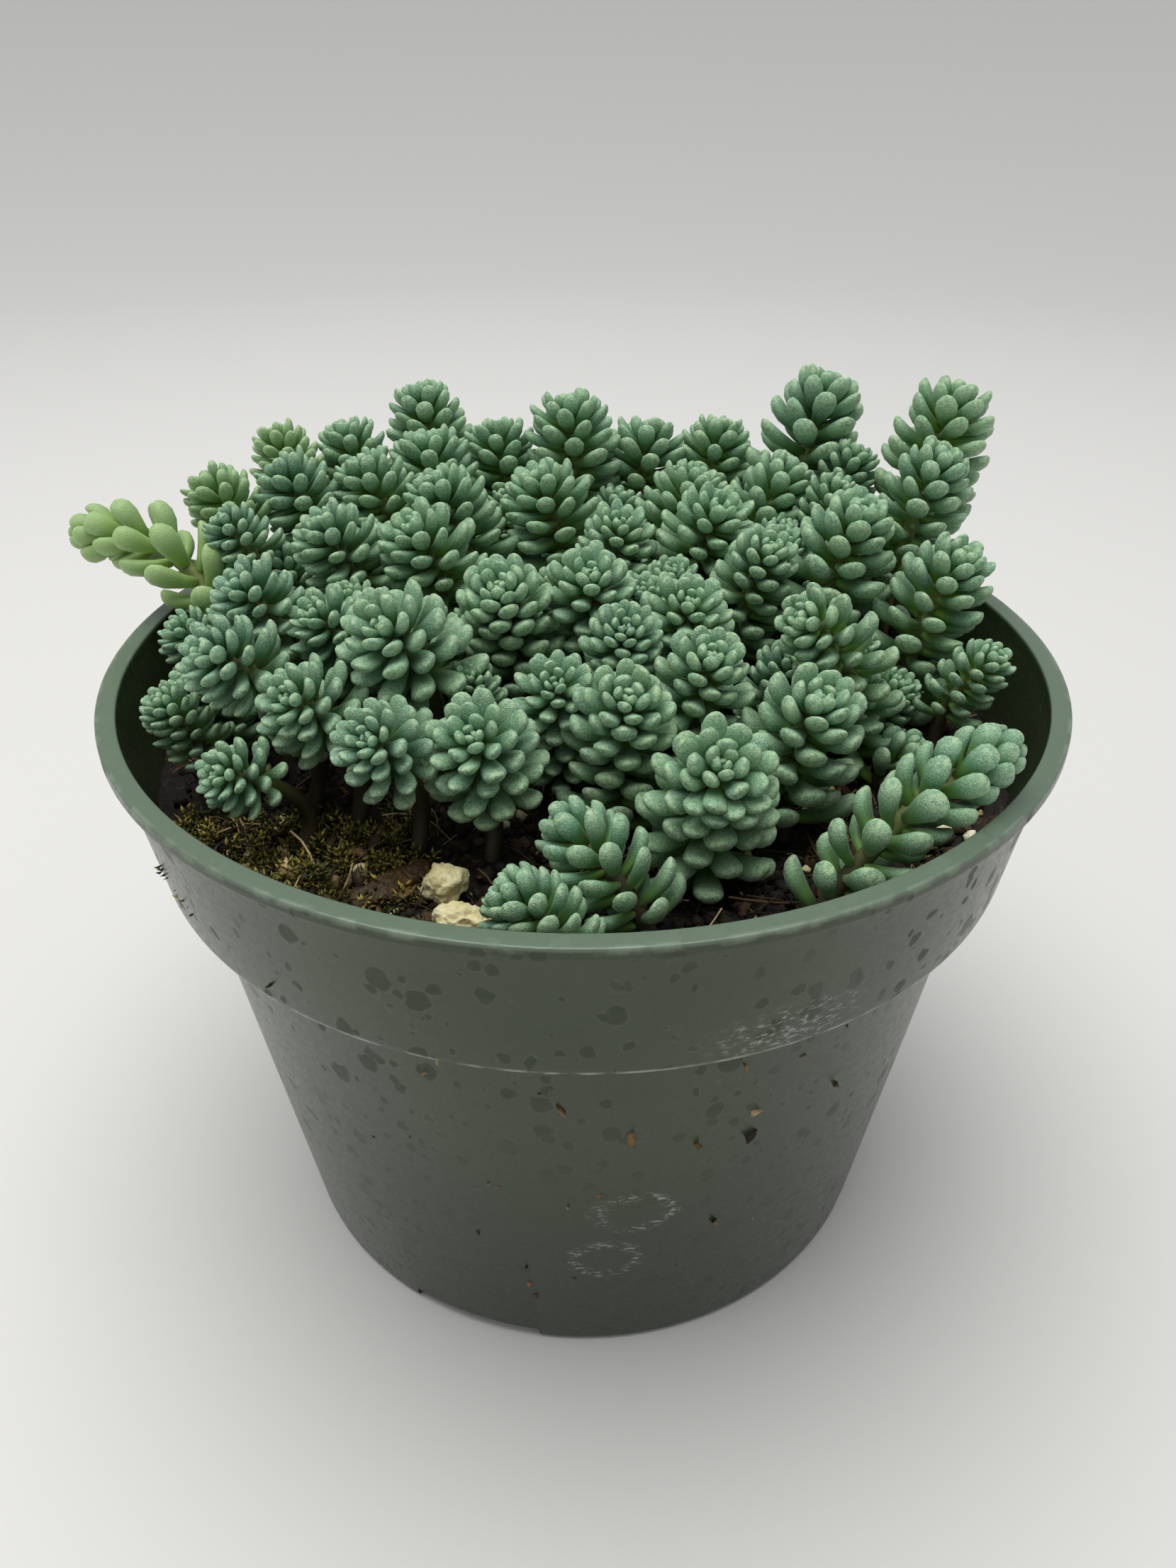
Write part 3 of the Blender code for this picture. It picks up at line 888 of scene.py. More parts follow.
    ring = addNode(
        tree, "GeometryNodeCurvePrimitiveCircle", {"Resolution": 8, "Radius": take("Stem Radius")},
    ).outputs[0]
    stem = addNode(
        tree, "GeometryNodeCurveToMesh", {"Curve": curve, "Profile Curve": ring, "Fill Caps": True},
    ).outputs[0]
    stem = painted(tree, stem, take("Stem Finish"))
    both = tree.nodes.new("GeometryNodeJoinGeometry")
    tree.links.new(stem, both.inputs[0])
    tree.links.new(leaves, both.inputs[0])
    wire(tree, both.outputs[0], pin(end, "Shoot"))
    return tree


def makeLeafFinish():
    finish, tree, shader = newFinish("waxyLeaf", 0.5)
    along, age, tone, shootTone = (
        attribute(tree, name) for name in ("along", "leafAge", "leafTone", "shootTone")
    )
    where = objectPlace(tree)
    cloud = useGroup(tree, mottle, Coarse=260.0, Fine=1500.0, Contrast=1.0)
    base = blended(tree, cloud[0], (0.050, 0.175, 0.092), (0.098, 0.280, 0.148))
    base = tinted(tree, base, tone, 0.45, (0.18, 0.36, 0.11))
    deep = ranged(tree, shootTone, 0.5, 0.2)
    base = tinted(tree, base, deep, 0.7, (0.070, 0.205, 0.155))
    # painted shade, darker towards the stem where the leaves crowd; and yellow-green where a young leaf joins
    # it, partly its own tint, partly a painted glow of light through the leaf
    paintedStemShade = ranged(tree, along, 0.75, 0.1)
    base = tinted(tree, base, paintedStemShade, 0.8, (0.030, 0.105, 0.030))
    # the joint colour is partly the young leaf's own tint, partly a painted glow of light passing through the
    # leaf
    jointTintAndGlow = times(tree, ranged(tree, along, 0.55, 0.05), ranged(tree, shootTone, 0.36, 0.52, 0.35, 1.0))
    base = tinted(tree, base, jointTintAndGlow, 0.9, (0.26, 0.48, 0.05))
    old = ranged(tree, age, 0.55, 1.0)
    base = tinted(tree, base, old, 0.4, (0.13, 0.25, 0.075))
    # pale bloom on the outer half, stronger at the tip
    frost = times(tree, ranged(tree, along, 0.42, 1.0), ranged(tree, cloud[1], 0.1, 0.9, 0.55, 1.0))
    base = tinted(tree, base, frost, 0.54, (0.34, 0.56, 0.38))
    pale = times(tree, ranged(tree, along, 0.72, 1.0), ranged(tree, cloud[1], 0.35, 0.7))
    base = tinted(tree, base, pale, 0.48, (0.54, 0.68, 0.36))
    # tiny bumps near the tip, each with a pale top
    dots = addNode(tree, "ShaderNodeTexVoronoi", {"Vector": where, "Scale": 4400.0}).outputs["Distance"]
    bead = ranged(tree, dots, 0.62, 0.2)
    rough = times(tree, bead, ranged(tree, along, 0.3, 0.8))
    base = tinted(tree, base, rough, 0.42, (0.66, 0.80, 0.56))
    lime = ranged(tree, shootTone, 0.55, 1.0)
    base = tinted(tree, base, lime, 0.65, (0.38, 0.54, 0.17))
    wire(tree, base, pin(shader, "Base Color"))
    wire(tree, ranged(tree, cloud[0], 0.0, 1.0, 0.46, 0.60), pin(shader, "Roughness"))
    normal = bumped(tree, rough, 0.7, 0.00006)
    wire(tree, normal, pin(shader, "Normal"))
    pin(shader, "Subsurface Weight").default_value = 0.10
    pin(shader, "Subsurface Radius").default_value = (0.7, 1.0, 0.3)
    pin(shader, "Subsurface Scale").default_value = 0.0016
    pin(shader, "Sheen Weight").default_value = 0.12
    pin(shader, "Sheen Roughness").default_value = 0.4
    return finish


def makeStemFinish():
    finish, tree, shader = newFinish("greenStem", 0.55)
    cloud = useGroup(tree, mottle, Coarse=200.0, Fine=1200.0, Contrast=1.0)
    base = blended(tree, cloud[0], (0.16, 0.24, 0.04), (0.24, 0.26, 0.09))
    # brown and dull down near the soil
    where = objectPlace(tree)
    height = addNode(tree, "ShaderNodeSeparateXYZ", {0: where}).outputs[2]
    woody = ranged(tree, height, pot["height"] + 2 * mm, pot["height"] - 9 * mm)
    base = blended(tree, woody, base, (0.045, 0.036, 0.018))
    base = tinted(tree, base, cloud[1], 0.4, (0.07, 0.045, 0.02))
    wire(tree, base, pin(shader, "Base Color"))
    wire(tree, bumped(tree, cloud[1], 0.3, 0.0001), pin(shader, "Normal"))
    return finish


waxyLeaf = makeLeafFinish()
greenStem = makeStemFinish()
shootTree = makeShootTree()


def growShoot(
    shoot, pieceName, seed, tone=0.5, openAngle=98, plump=1.0, gap=1.0, size=1.0, lean=0.0, deepest=2.4,
):
    root, bend, tip = shoot["root"], shoot["bend"], shoot["tip"]
    radius = shoot["radius"] * growth["fullness"] * size
    # pull the bend back, so that the head looks forwards and outwards as it grows to the light
    outward = Vector((0.25 * tip.x if tip.x > 0 else tip.x, min(tip.y - 30 * mm, 0), 0))
    if outward.length > 0:
        bend = bend - outward.normalized() * lean * (tip.z - root.z)
    line = [curveAt(root, bend, tip, 1 - i / 27) for i in range(28)]
    heading = (line[0] - line[1]).normalized()
    line[0] = tip - heading * growth["tipDrop"] * radius
    line = [line[0]] + [p for p in line[1:] if (p - line[0]).dot(heading) < -0.2 * mm]
    line[-1].z -= mm   # the stem goes into the soil
    length = sum((b - a).length for a, b in zip(line, line[1:]))
    reach = min(length - 2 * mm, deepest * radius)
    count = 4
    firstGap = growth["firstGap"] * gap
    gapGrowth = growth["gapGrowth"] * gap
    while radius * (count * firstGap + count * count * gapGrowth) < reach:
        count += 1
    mesh = bpy.data.meshes.new(pieceName)
    mesh.from_pydata([tuple(p) for p in line], [(i, i + 1) for i in range(len(line) - 1)], [])
    made = newObject(pieceName, mesh)
    stemRadius = growth["stemRadius"] * min(1.0, radius / (6 * mm))
    return grow(made, shootTree, {
        "Leaves": count, "Head Radius": radius, "First Gap": firstGap, "Gap Growth": gapGrowth,
        "Open Angle": float(openAngle), "Plumpness": float(plump), "Turn": seed * 2.4,
        "Seed": seed * 17 + growth["seed"], "Tone": float(tone), "Stem Radius": stemRadius,
        "Leaf Shapes": shelf, "Leaf Finish": waxyLeaf, "Stem Finish": greenStem,
    })


# how each part of the cushion grows: tone (0 deep blue-green, 1 lime), and how far its heads lean out
habits = {
    "back": dict(tone=0.50, lean=0.06, openAngle=90),
    "middle": dict(tone=0.46, lean=0.30, openAngle=92),
    "left": dict(tone=0.34, lean=0.3, deepest=1.7),
    "right": dict(tone=0.48, lean=0.22, openAngle=84, gap=1.4, plump=1.15),
    "front": dict(tone=0.38, lean=0.3, deepest=2.0),
    "leaning": dict(tone=0.50, lean=0.0, deepest=9),
}
tall = dict(openAngle=86, gap=1.5, plump=1.12, deepest=3.2)
# shoots that aren't like their neighbours
special = {
    "shoot_trailing_left": dict(tone=0.98, openAngle=66, plump=1.25, gap=3.2, size=1.4),
    "shoot_left_1": dict(tone=0.82, openAngle=88),
    "shoot_left_8": dict(deepest=1.3),
    "shoot_left_9": dict(deepest=1.3),
    "shoot_left_10": dict(deepest=1.35),
    "shoot_back_1": dict(tone=0.78),
    "shoot_back_2": dict(tone=0.62),
    "shoot_back_9": {**tall, "tone": 0.40, "size": 1.15},
    "shoot_back_10": {**tall, "tone": 0.60, "openAngle": 92, "size": 1.1},
    "shoot_middle_5": dict(tone=0.66),
    "shoot_middle_7": {**tall, "tone": 0.50},
    "shoot_middle_8": {**tall, "tone": 0.46, "lean": 0.08},
    "shoot_middle_9": {**tall, "tone": 0.52, "lean": 0.15},
    "shoot_middle_10": {**tall, "tone": 0.48},
    "shoot_middle_12": dict(openAngle=80, plump=1.15),
    "shoot_right_1": {**tall, "tone": 0.50, "lean": 0.12, "deepest": 4},
    "shoot_right_2": dict(tone=0.52, gap=1.8, plump=1.1),
    "shoot_right_3": dict(tone=0.60, openAngle=72, gap=3.4, plump=1.2, size=1.3, lean=0.0, deepest=5),
    "shoot_leaning_right": {**tall, "tone": 0.56, "gap": 1.7, "size": 1.1, "deepest": 9},
    "shoot_facing_front": dict(tone=0.52, openAngle=96, plump=1.1, size=1.0),
    "shoot_reclining_right": dict(tone=0.50, openAngle=64, plump=1.35, gap=2.4, size=1.12),
    "shoot_low_front": dict(tone=0.46, openAngle=80, gap=1.7, plump=1.15),
    "shoot_low_front_left": dict(tone=0.46, openAngle=84, plump=1.15),
    "shoot_front_1": dict(deepest=1.5),
    "shoot_front_2": dict(deepest=1.25),
    "shoot_front_3": dict(deepest=1.7),
    "shoot_front_4": dict(deepest=3),
    "shoot_front_5": dict(deepest=4, openAngle=80),
    "shoot_front_6": {**tall, "tone": 0.44, "lean": 0.25},
    "shoot_front_7": {**tall, "tone": 0.55, "lean": 0.3, "deepest": 5},
    "shoot_front_8": {**tall, "tone": 0.54, "lean": 0.2, "deepest": 5},
}

grown = []
for number, shoot in enumerate(shoots):
    name = shoot["name"]
    group = name.split("_")[1] if name[-1].isdigit() else "leaning"
    habit = {**habits[group], **special.get(name, {})}
    habit["tone"] += 0.05 * math.sin(2.4 * number)
    piece = growShoot(shoot, name.replace("shoot_", "leaves_"), number + 1, **habit)
    grown.append((piece, name))
say("shoots planted")


# side shoots that fill the gaps between the main ones

fillers = {
    "seed": 5,
    "tries": 3000,
    "radius": (4.2 * mm, 6 * mm),
    "spacing": 0.80,        # share of the two radii that may not overlap
    "below": 4.5 * mm,      # how far under their neighbours' tips they stop
    "most": 34,
    "bareSpan": 21 * mm,    # where the third neighbour is further than this, the soil stays bare
    "frontLeft": -26 * mm,  # none nearer the front than this
    "frontRight": -16 * mm,
    "rightFrom": 15 * mm,
    "backFrom": 40 * mm,
    "backRise": 12 * mm,    # most height over the lip at the back
}


def findGaps():
    chance = np.random.default_rng(fillers["seed"])
    taken = [(s["tip"].x, s["tip"].y, s["tip"].z, s["radius"]) for s in shoots]
    found = []
    low, high = fillers["radius"]
    for _ in range(fillers["tries"]):
        x, y = chance.uniform(-lipInner, lipInner, 2)
        radius = chance.uniform(low, high)
        if math.hypot(x, y) > lipInner - radius - mm:
            continue
        gaps = []
        for tx, ty, tz, tr in taken:
            away = math.hypot(x - tx, y - ty)
            gaps.append((away - fillers["spacing"] * (radius + tr), away, tz))
        gaps.sort()
        if gaps[0][0] < 0:
            continue
        near = sorted(gaps, key=lambda g: g[1])[:4]
        front = fillers["frontRight"] if x > fillers["rightFrom"] else fillers["frontLeft"]
        if near[2][1] > fillers["bareSpan"] or y < front:
            continue
        z = sum(g[2] for g in near) / 4 - fillers["below"] - chance.uniform(0, 3 * mm)
        if y > fillers["backFrom"]:
            z = min(z, pot["height"] + fillers["backRise"])
        taken.append((x, y, z, radius))
        root = Vector((0.92 * x, 0.92 * y, soilHigh.z))
        tip = Vector((x, y, z))
        bend = Vector((root.x, root.y, (root.z + z) / 2))
        found.append({"name": "side", "root": root, "bend": bend, "tip": tip, "radius": radius})
        if len(found) == fillers["most"]:
            break
    return found


sides = findGaps()
sidePieces = []
for i, shoot in enumerate(sides):
    tone = 0.42 + 0.12 * math.sin(i)
    sidePieces.append(growShoot(shoot, f"side_{i}", 100 + i, tone=tone, openAngle=80, gap=1.05, lean=0.15))
for piece in [made for made, _ in grown] + sidePieces:
    settle(piece)
say(f"{len(sides)} side shoots fill the gaps")
for piece, name in grown:
    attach(piece, "root")
    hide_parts(name)
middle = sorted(shoot["tip"].x for shoot in sides)[len(sides) // 2]
halves = {
    "side_shoots_left": [piece for piece, shoot in zip(sidePieces, sides) if shoot["tip"].x < middle],
    "side_shoots_right": [piece for piece, shoot in zip(sidePieces, sides) if shoot["tip"].x >= middle],
}
for name, pieces in halves.items():
    half = joined(name, pieces)
    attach(half, "root")
for shape in list(shelf.objects):
    bpy.data.objects.remove(shape, do_unlink=True)
bpy.data.collections.remove(shelf)
say("leaves grown")

# soil

soil = {
    "rings": 72,
    "sides": 180,
    "unevenness": ((2.2 * mm, 60), (1.6 * mm, 190), (0.7 * mm, 560)),   # height and how many lumps per metre
    "clear": 0.3 * mm,
    "bareFrom": 3 * mm,     # soil further than this from every shoot counts as bare
    "bareTo": 8 * mm,
    "seed": 3,
}
ledge = stepHeight + pot["wall"]


def collarInner(height):
    share = (height - ledge) / (pot["height"] - ledge)
    return collarBottom - pot["wall"] + (lipInner - collarBottom + pot["wall"]) * share


mossLow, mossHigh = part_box("moss_patch")
mossCentre = (mossLow + mossHigh) / 2


def soilLift(x, y):
    total = 0
    for height, lumps in soil["unevenness"]:
        total += height * noise.noise(Vector((x * lumps, y * lumps, soil["seed"])))
    edge = math.hypot(x, y) / collarInner(soilHigh.z)
    return total - 1.2 * mm * edge ** 8 - 0.6 * mm


def stepUp(value, low, high):
    t = min(1, max(0, (value - low) / (high - low)))
    return t * t * (3 - 2 * t)


def bareness(x, y):
    nearest = min(math.hypot(x - s["root"].x, y - s["root"].y) for s in shoots + sides)
    edge = math.hypot(x, y) / collarInner(soilHigh.z)
    return (0.12 + 0.88 * stepUp(nearest, soil["bareFrom"], soil["bareTo"])) * (1 - stepUp(edge, 0.90, 0.96))


def mossiness(x, y):
    near = math.hypot((x - mossCentre.x + 6 * mm) / (24 * mm), (y - mossCentre.y - 9 * mm) / (19 * mm))
    patchy = noise.noise(Vector((x * 160, y * 160, 9)))
    return stepUp(1.15 - near + 0.7 * patchy, 0.0, 0.5) * stepUp(-y, 20 * mm, 32 * mm)


def makeSoilMesh():
    bm = bmesh.new()
    bare = bm.verts.layers.float.new("bare")
    mossy = bm.verts.layers.float.new("mossy")
    centre = bm.verts.new((0, 0, soilHigh.z + soilLift(0, 0)))
    rings = []
    reach = collarInner(soilHigh.z) + 0.05 * mm
    for i in range(1, soil["rings"] + 1):
        r = reach * i / soil["rings"]
        ring = []
        for k in range(soil["sides"]):
            x = r * math.cos(k * math.tau / soil["sides"])
            y = r * math.sin(k * math.tau / soil["sides"])
            vert = bm.verts.new((x, y, soilHigh.z + soilLift(x, y)))
            vert[bare] = bareness(x, y)
            vert[mossy] = mossiness(x, y)
            ring.append(vert)
        rings.append(ring)
    for r, z in (
        (collarInner(ledge) - soil["clear"], ledge + soil["clear"]),
        (bodyTop - pot["wall"] - soil["clear"], ledge + soil["clear"]),
        (bodyBottom - pot["wall"] - soil["clear"], potFloor + soil["clear"]),
    ):
        rings.append(ringOf(bm, r, z, soil["sides"]))
    for k in range(soil["sides"]):
        n = (k + 1) % soil["sides"]
        bm.faces.new((centre, rings[0][k], rings[0][n]))
        for inner, outer in zip(rings, rings[1:]):
            bm.faces.new((inner[k], outer[k], outer[n], inner[n]))
    bm.faces.new(list(reversed(rings[-1])))
    return meshFrom("peat_soil", bm)


def makePeatFinish():
    finish, tree, shader = newFinish("dampPeat", 0.85)
    cloud = useGroup(tree, mottle, Coarse=240.0, Fine=1500.0, Contrast=1.4)
    where = objectPlace(tree)
    tint = addNode(tree, "ShaderNodeTexVoronoi", {"Vector": where, "Scale": 520.0}).outputs["Color"]
    pick = addNode(tree, "ShaderNodeSeparateColor", {0: tint}).outputs
    base = blended(tree, cloud[0], (0.004, 0.003, 0.002), (0.020, 0.013, 0.006))
    base = blended(tree, times(tree, ranged(tree, pick[0], 0.72, 0.9), cloud[1]), base, (0.10, 0.055, 0.022))
    base = blended(
        tree,
        times(tree, attribute(tree, "mossy"), ranged(tree, cloud[1], 0.35, 0.8)),
        base,
        (0.085, 0.080, 0.018),
    )
    wire(tree, base, pin(shader, "Base Color"))
    wire(tree, ranged(tree, cloud[0], 0.0, 1.0, 0.62, 0.95), pin(shader, "Roughness"))
    wire(tree, bumped(tree, plus(tree, cloud[1], cloud[0]), 0.8, 0.0005), pin(shader, "Normal"))
    return finish


def makeBitFinish(name, colours, roughness, grain=900.0):
    # one finish for loose bits: a dark, a middle and a light colour, picked per bit
    finish, tree, shader = newFinish(name, roughness)
    cloud = useGroup(tree, mottle, Coarse=grain * 0.4, Fine=grain * 1.6, Contrast=1.0)
    tone = attribute(tree, "bitTone")
    base = blended(tree, ranged(tree, tone, 0.15, 0.5), colours[0], colours[1])
    base = blended(tree, ranged(tree, tone, 0.6, 0.95), base, colours[2])
    base = tinted(tree, base, cloud[1], 0.3, tuple(0.6 * c for c in colours[0]))
    wire(tree, base, pin(shader, "Base Color"))
    wire(tree, bumped(tree, cloud[1], 0.6, 0.00025), pin(shader, "Normal"))
    wire(
        tree,
        ranged(tree, cloud[0], 0.0, 1.0, roughness - 0.1, min(1.0, roughness + 0.08)),
        pin(shader, "Roughness"),
    )
    return finish


peat = makePeatFinish()
soilPiece = newObject("peat_soil", makeSoilMesh(), [peat])


def makeScatterTree():
    # loose bits over a surface, where an attribute of that surface is strong
    tree, start, end = newTree("looseBits", "GeometryNodeTree", (
        ("Surface", "Geometry", None), ("Bit", "Object", None), ("Density", "Float", 1e5),
        ("Where", "String", "bare"),
        ("Smallest", "Float", 0.001), ("Largest", "Float", 0.002), ("Tilt", "Float", 0.4),
        ("Lift", "Float", 0.0), ("Steepest", "Float", 0.3), ("Seed", "Int", 0), ("Finish", "Material", None),
    ), (("Bits", "Geometry"),))
    take = lambda name: pin(start, name)
    strength = addNode(tree, "GeometryNodeInputNamedAttribute", {"Name": take("Where")}, data_type="FLOAT")
    strength = pin(strength.outputs, "Attribute")
    facing = addNode(tree, "GeometryNodeInputNormal").outputs[0]
    up = addNode(tree, "ShaderNodeSeparateXYZ", {0: facing}).outputs[2]
    level = maths(tree, "GREATER_THAN", up, take("Steepest"))
    density = times(tree, times(tree, take("Density"), strength), level)
    spots = addNode(
        tree,
        "GeometryNodeDistributePointsOnFaces",
        {"Mesh": take("Surface"), "Density": density, "Seed": take("Seed")},
        distribute_method="RANDOM",
    )
    turnBy = drawn(tree, (-1.0, -1.0, -3.14), (1.0, 1.0, 3.14), take("Seed"), "FLOAT_VECTOR")
    tilt = addNode(tree, "ShaderNodeCombineXYZ", {"X": take("Tilt"), "Y": take("Tilt"), "Z": 1.0}).outputs[0]
    spin = vectorMaths(tree, "MULTIPLY", turnBy, tilt)
    turned = addNode(tree, "FunctionNodeEulerToRotation", {"Euler": spin}).outputs[0]
    small = maths(tree, "POWER", drawn(tree, 0.0, 1.0, plus(tree, take("Seed"), 5)), 2.0)
    size = plus(tree, take("Smallest"), times(tree, small, minus(tree, take("Largest"), take("Smallest"))))
    shape = addNode(tree, "GeometryNodeObjectInfo", {"Object": take("Bit"), "As Instance": True})
    bits = addNode(tree, "GeometryNodeInstanceOnPoints", {
        "Points": spots.outputs["Points"], "Instance": pin(shape.outputs, "Geometry"), "Rotation": turned,
        "Scale": size,
    }).outputs[0]
    raised = addNode(tree, "ShaderNodeCombineXYZ", {"Z": times(tree, size, take("Lift"))}).outputs[0]
    bits = addNode(
        tree,
        "GeometryNodeTranslateInstances",
        {"Instances": bits, "Translation": raised, "Local Space": False},
    ).outputs[0]
    bits = stored(tree, bits, "bitTone", drawn(tree, 0.0, 1.0, plus(tree, take("Seed"), 9)))
    bits = addNode(tree, "GeometryNodeRealizeInstances", {"Geometry": bits}).outputs[0]
    bits = painted(tree, bits, take("Finish"))
    wire(tree, bits, pin(end, "Bits"))
    return tree


def makeBit(name, size, roughness, seed, detail=1):
    # a broken lump one unit long
    bm = bmesh.new()
    bmesh.ops.create_icosphere(bm, subdivisions=detail, radius=0.5)
    for vert in bm.verts:
        vert.co *= 1 + roughness * noise.noise(2.3 * vert.co + Vector((seed, 2 * seed, 0)))
    bmesh.ops.scale(bm, vec=size, verts=bm.verts)
    return bpy.data.objects.new(name, meshFrom(name, bm))


fibreRadius = 0.018   # as a share of the length


def makeFibre(name, seed):
    # a bent straw one unit long
    bm = bmesh.new()
    loops = []
    for i in range(6):
        t = i / 5
        centre = Vector((t - 0.5, 0.16 * math.sin(3 * t + seed), 0.12 * math.sin(2.2 * t + 2 * seed)))
        turns = [k * math.tau / 4 for k in range(4)]
        spokes = [Vector((0, fibreRadius * math.cos(turn), fibreRadius * math.sin(turn))) for turn in turns]
        loops.append([bm.verts.new(centre + spoke) for spoke in spokes])
    bridge(bm, loops)
    bm.faces.new(loops[0])
    bm.faces.new(loops[-1])
    bmesh.ops.recalc_face_normals(bm, faces=bm.faces)
    return bpy.data.objects.new(name, meshFrom(name, bm))


def makeTuft(name):
    # a sprig of moss: small pointed leaves round a short stem
    bm = bmesh.new()
    for i in range(9):
        angle = i * 2.4
        rise = 0.15 + 0.1 * i
        out = Vector((math.cos(angle), math.sin(angle), 0))
        side = Vector((-out.y, out.x, 0)) * 0.11
        foot = Vector((0, 0, rise))
        middle = foot + out * 0.28 + Vector((0, 0, 0.10))
        tip = foot + out * (0.6 - 0.03 * i) + Vector((0, 0, 0.30))
        corners = [bm.verts.new(p) for p in (foot, middle - side, tip, middle + side)]
        under = bm.verts.new(middle - Vector((0, 0, 0.08)))
        bm.faces.new((corners[0], corners[1], corners[2]))
        bm.faces.new((corners[0], corners[2], corners[3]))
        bm.faces.new((corners[1], corners[0], under))
        bm.faces.new((corners[2], corners[1], under))
        bm.faces.new((corners[3], corners[2], under))
        bm.faces.new((corners[0], corners[3], under))
    return bpy.data.objects.new(name, meshFrom(name, bm))


crumbFinish = makeBitFinish(
    "peatCrumb", ((0.006, 0.004, 0.002), (0.018, 0.011, 0.005), (0.085, 0.050, 0.020)), 0.85,
)
barkFinish = makeBitFinish(
    "barkFlake", ((0.020, 0.010, 0.003), (0.060, 0.027, 0.006), (0.23, 0.105, 0.020)), 0.55,
)
perliteFinish = makeBitFinish(
    "perliteGrain", ((0.60, 0.52, 0.22), (0.78, 0.70, 0.38), (0.90, 0.86, 0.62)), 0.85, 700.0,
)
mossFinish = makeBitFinish("mossSprig", ((0.040, 0.046, 0.006), (0.14, 0.13, 0.014), (0.48, 0.40, 0.06)), 0.7)
strawFinish = makeBitFinish("straw", ((0.040, 0.024, 0.010), (0.20, 0.12, 0.040), (0.62, 0.46, 0.22)), 0.6)

# the larger pieces that lie on the soil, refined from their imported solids

def refined(name, node, cuts, bumps, finish, smooth=True):
    bm = bmesh.new()
    bm.from_mesh(nodes[node].data)
    bmesh.ops.remove_doubles(bm, verts=bm.verts, dist=0.01 * mm)
    bmesh.ops.recalc_face_normals(bm, faces=bm.faces)
    for _ in range(cuts):
        bmesh.ops.subdivide_edges(bm, edges=bm.edges[:], cuts=1, use_grid_fill=True, smooth=0.35)
    bm.normal_update()
    moved = []
    for vert in bm.verts:
        push = sum(height * noise.noise(vert.co * lumps) for height, lumps in bumps)
        moved.append(vert.co + vert.normal * push)
    for vert, place in zip(bm.verts, moved):
        vert.co = place
    mesh = meshFrom(name, bm, smooth)
    tone = mesh.attributes.new("bitTone", "FLOAT", "POINT")
    for i, vert in enumerate(mesh.vertices):
        tone.data[i].value = 0.55 + 0.45 * noise.noise(vert.co * 400)
    piece = newObject(name, mesh, [finish])
    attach(piece, "root")
    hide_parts(node)
    return piece


for name, node in (("perlite_chunk", "perlite_lump_large"), ("perlite_slab", "perlite_lump_front")):
    refined(name, node, 3, ((0.9 * mm, 330), (0.45 * mm, 900), (0.2 * mm, 2300)), perliteFinish)
refined("bark_flake", "bark_chip", 3, ((0.6 * mm, 260), (0.3 * mm, 900)), barkFinish)
mossPiece = refined("moss_cushion", "moss_patch", 2, ((1.0 * mm, 300), (0.6 * mm, 800)), mossFinish)
say("larger pieces made")


# the litter lies on the soil and on the moss cushion
litterBed = newObject("litter_bed", soilPiece.data.copy())
mossBed = newObject("moss_bed", mossPiece.data.copy())
for name, value in (("bare", 0.5), ("mossy", 1.0)):
    layer = mossBed.data.attributes.new(name, "FLOAT", "POINT")
    layer.data.foreach_set("value", [value] * len(mossBed.data.vertices))
litterBed = joined("litter_bed", [litterBed, mossBed])

# each kind of loose bit: shape, finish, slot, how many to the square metre, where, sizes, tilt, lift, seed
looseBits = {
    "peat_crumbs": (
        makeBit("crumb", (1, 0.8, 0.65), 0.9, 1), crumbFinish, "soil", 5.5e5, "bare", 0.5, 2.6, 1.2, 0.25, 1,
    ),
    "peat_fibres": (makeFibre("thread", 3), crumbFinish, "soil", 2.6e5, "bare", 1.5, 7.0, 1.0, 0.2, 15),
    "bark_bits": (
        makeBit("flake", (1, 0.35, 0.12), 1.0, 4), barkFinish, "bark", 7.0e4, "bare", 1.2, 5.0, 0.8, 0.3, 2,
    ),
    "perlite_bits": (
        makeBit("grain", (1, 0.85, 0.8), 0.8, 7, detail=2),
        perliteFinish,
        "perlite",
        2.6e4,
        "bare",
        0.7,
        3.2,
        1.5,
        0.5,
        8,
    ),
    "moss_bits": (makeTuft("tuft"), mossFinish, "moss", 8.0e5, "mossy", 1.2, 3.4, 0.8, 0.15, 4),
    "litter_flakes": (
        makeBit("scale", (1, 0.5, 0.10), 1.3, 6), strawFinish, "bark", 2.2e5, "mossy", 0.8, 3.4, 1.3, 0.6, 11,
    ),
    "straws": (makeFibre("fibre", 1), strawFinish, "bark", 9.0e4, "bare", 2.5, 11.0, 0.7, 0.12, 5),
}
scatterTree = makeScatterTree()
bitPieces = []
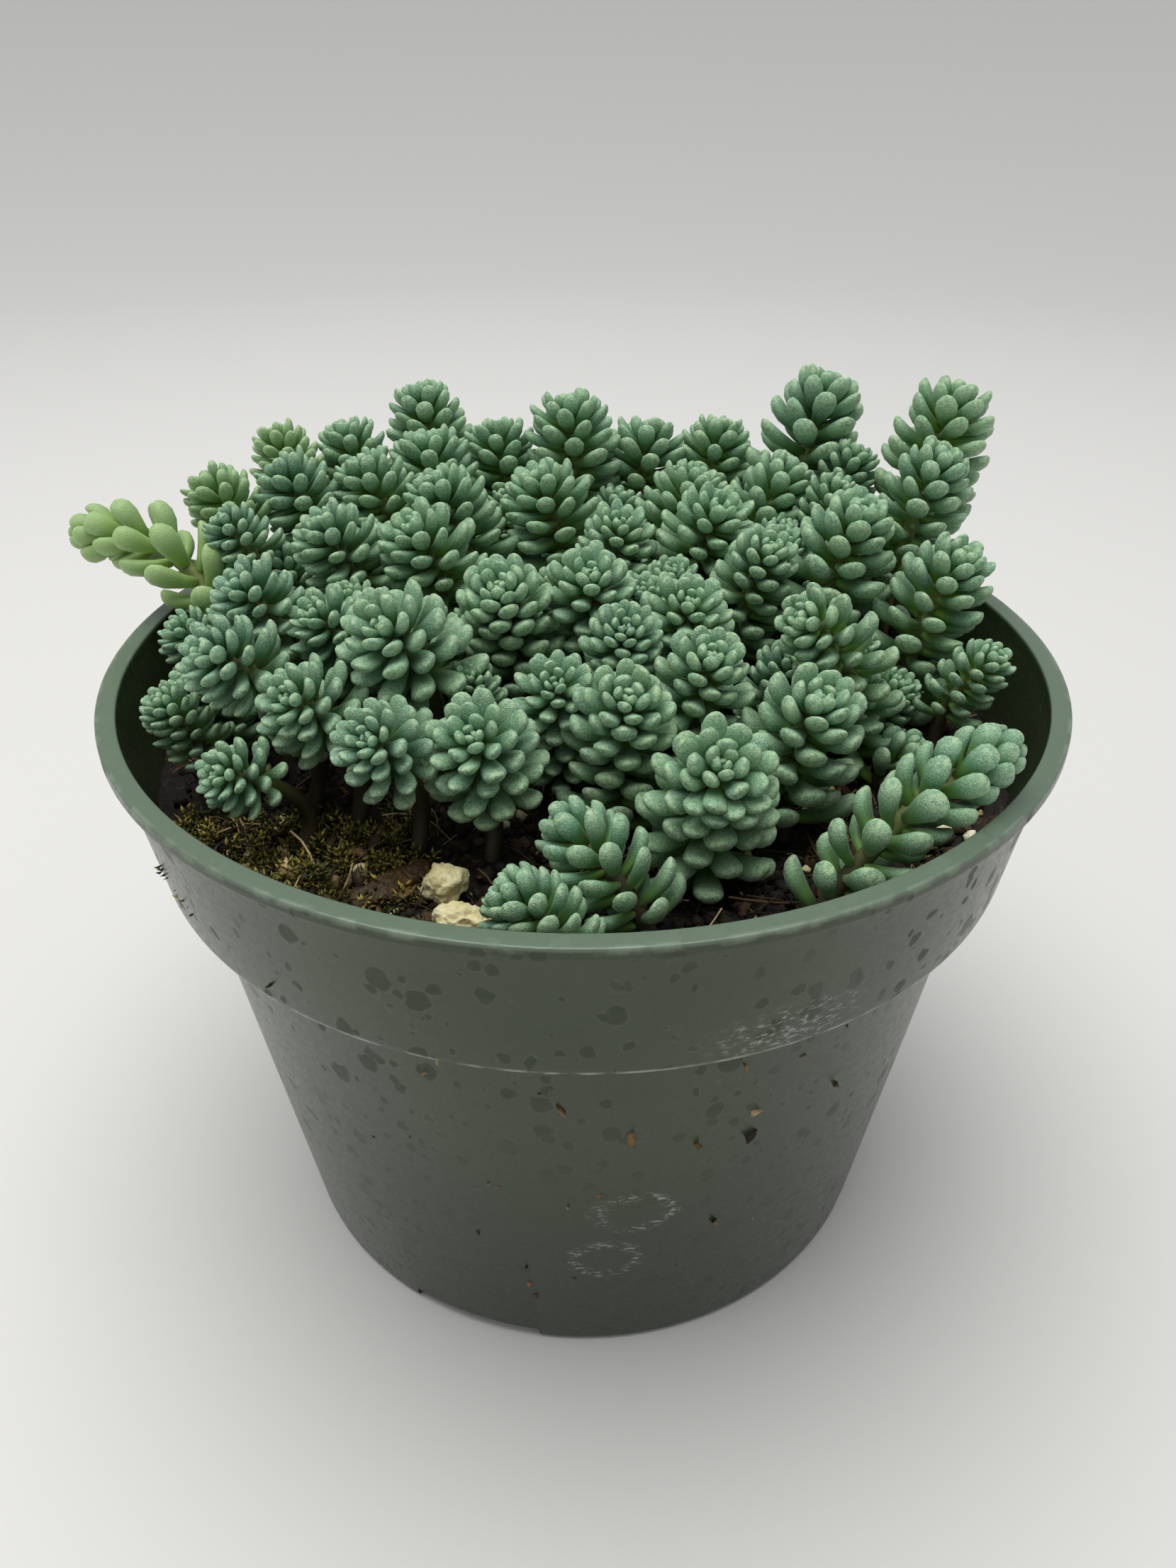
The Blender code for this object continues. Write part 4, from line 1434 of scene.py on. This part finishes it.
for name, (shape, finish, slot, density, mask, smallest, largest, tilt, lift, seed) in looseBits.items():
    piece = newObject(name, litterBed.data.copy())
    grow(piece, scatterTree, {
        "Bit": shape, "Density": density, "Where": mask, "Smallest": smallest * mm, "Largest": largest * mm,
        "Tilt": tilt, "Lift": lift, "Seed": seed, "Finish": finish,
    })
    bitPieces.append((piece, slot, shape))
for piece, slot, shape in bitPieces:
    settle(piece)
    say(f"{piece.name}: {len(piece.data.polygons)} faces")
    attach(piece, "root")
for piece, slot, shape in bitPieces:
    bpy.data.objects.remove(shape, do_unlink=True)
bpy.data.objects.remove(litterBed, do_unlink=True)
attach(soilPiece, "root")
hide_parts("soil")
say("soil made")


# bits of litter stuck to the wall

stuck = {
    "angles": (-128, -52),
    "heights": (0.014, 0.078),
    "density": 6500,
    "sizes": (0.9 * mm, 3.6 * mm),
    "seed": 21,
}


def makeWallPatch():
    bm = bmesh.new()
    bare = bm.verts.layers.float.new("bare")
    rows = []
    low, high = stuck["heights"]
    first, last = stuck["angles"]
    for i in range(9):
        height = low + (high - low) * i / 8
        row = [bm.verts.new(onWall(first + (last - first) * k / 24, height)) for k in range(25)]
        for vert in row:
            vert[bare] = 1.0
        rows.append(row)
    for lower, upper in zip(rows, rows[1:]):
        for k in range(24):
            bm.faces.new((lower[k], lower[k + 1], upper[k + 1], upper[k]))
    return meshFrom("wall_patch", bm)


wallFinish = makeBitFinish("wallSpeck", ((0.030, 0.018, 0.009), (0.22, 0.12, 0.045), (0.52, 0.40, 0.20)), 0.7)
speck = makeBit("speck", (1, 0.55, 0.22), 1.2, 13)
specks = newObject("wall_specks", makeWallPatch())
grow(specks, scatterTree, {
    "Bit": speck, "Density": stuck["density"], "Where": "bare",
    "Smallest": stuck["sizes"][0], "Largest": stuck["sizes"][1], "Tilt": 3.0, "Lift": 0.0,
    "Seed": stuck["seed"], "Finish": wallFinish, "Steepest": -1.0,
})
settle(specks)
bpy.data.objects.remove(speck, do_unlink=True)
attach(specks, "root")
say(f"{len(specks.data.polygons) // 20} specks on the wall")
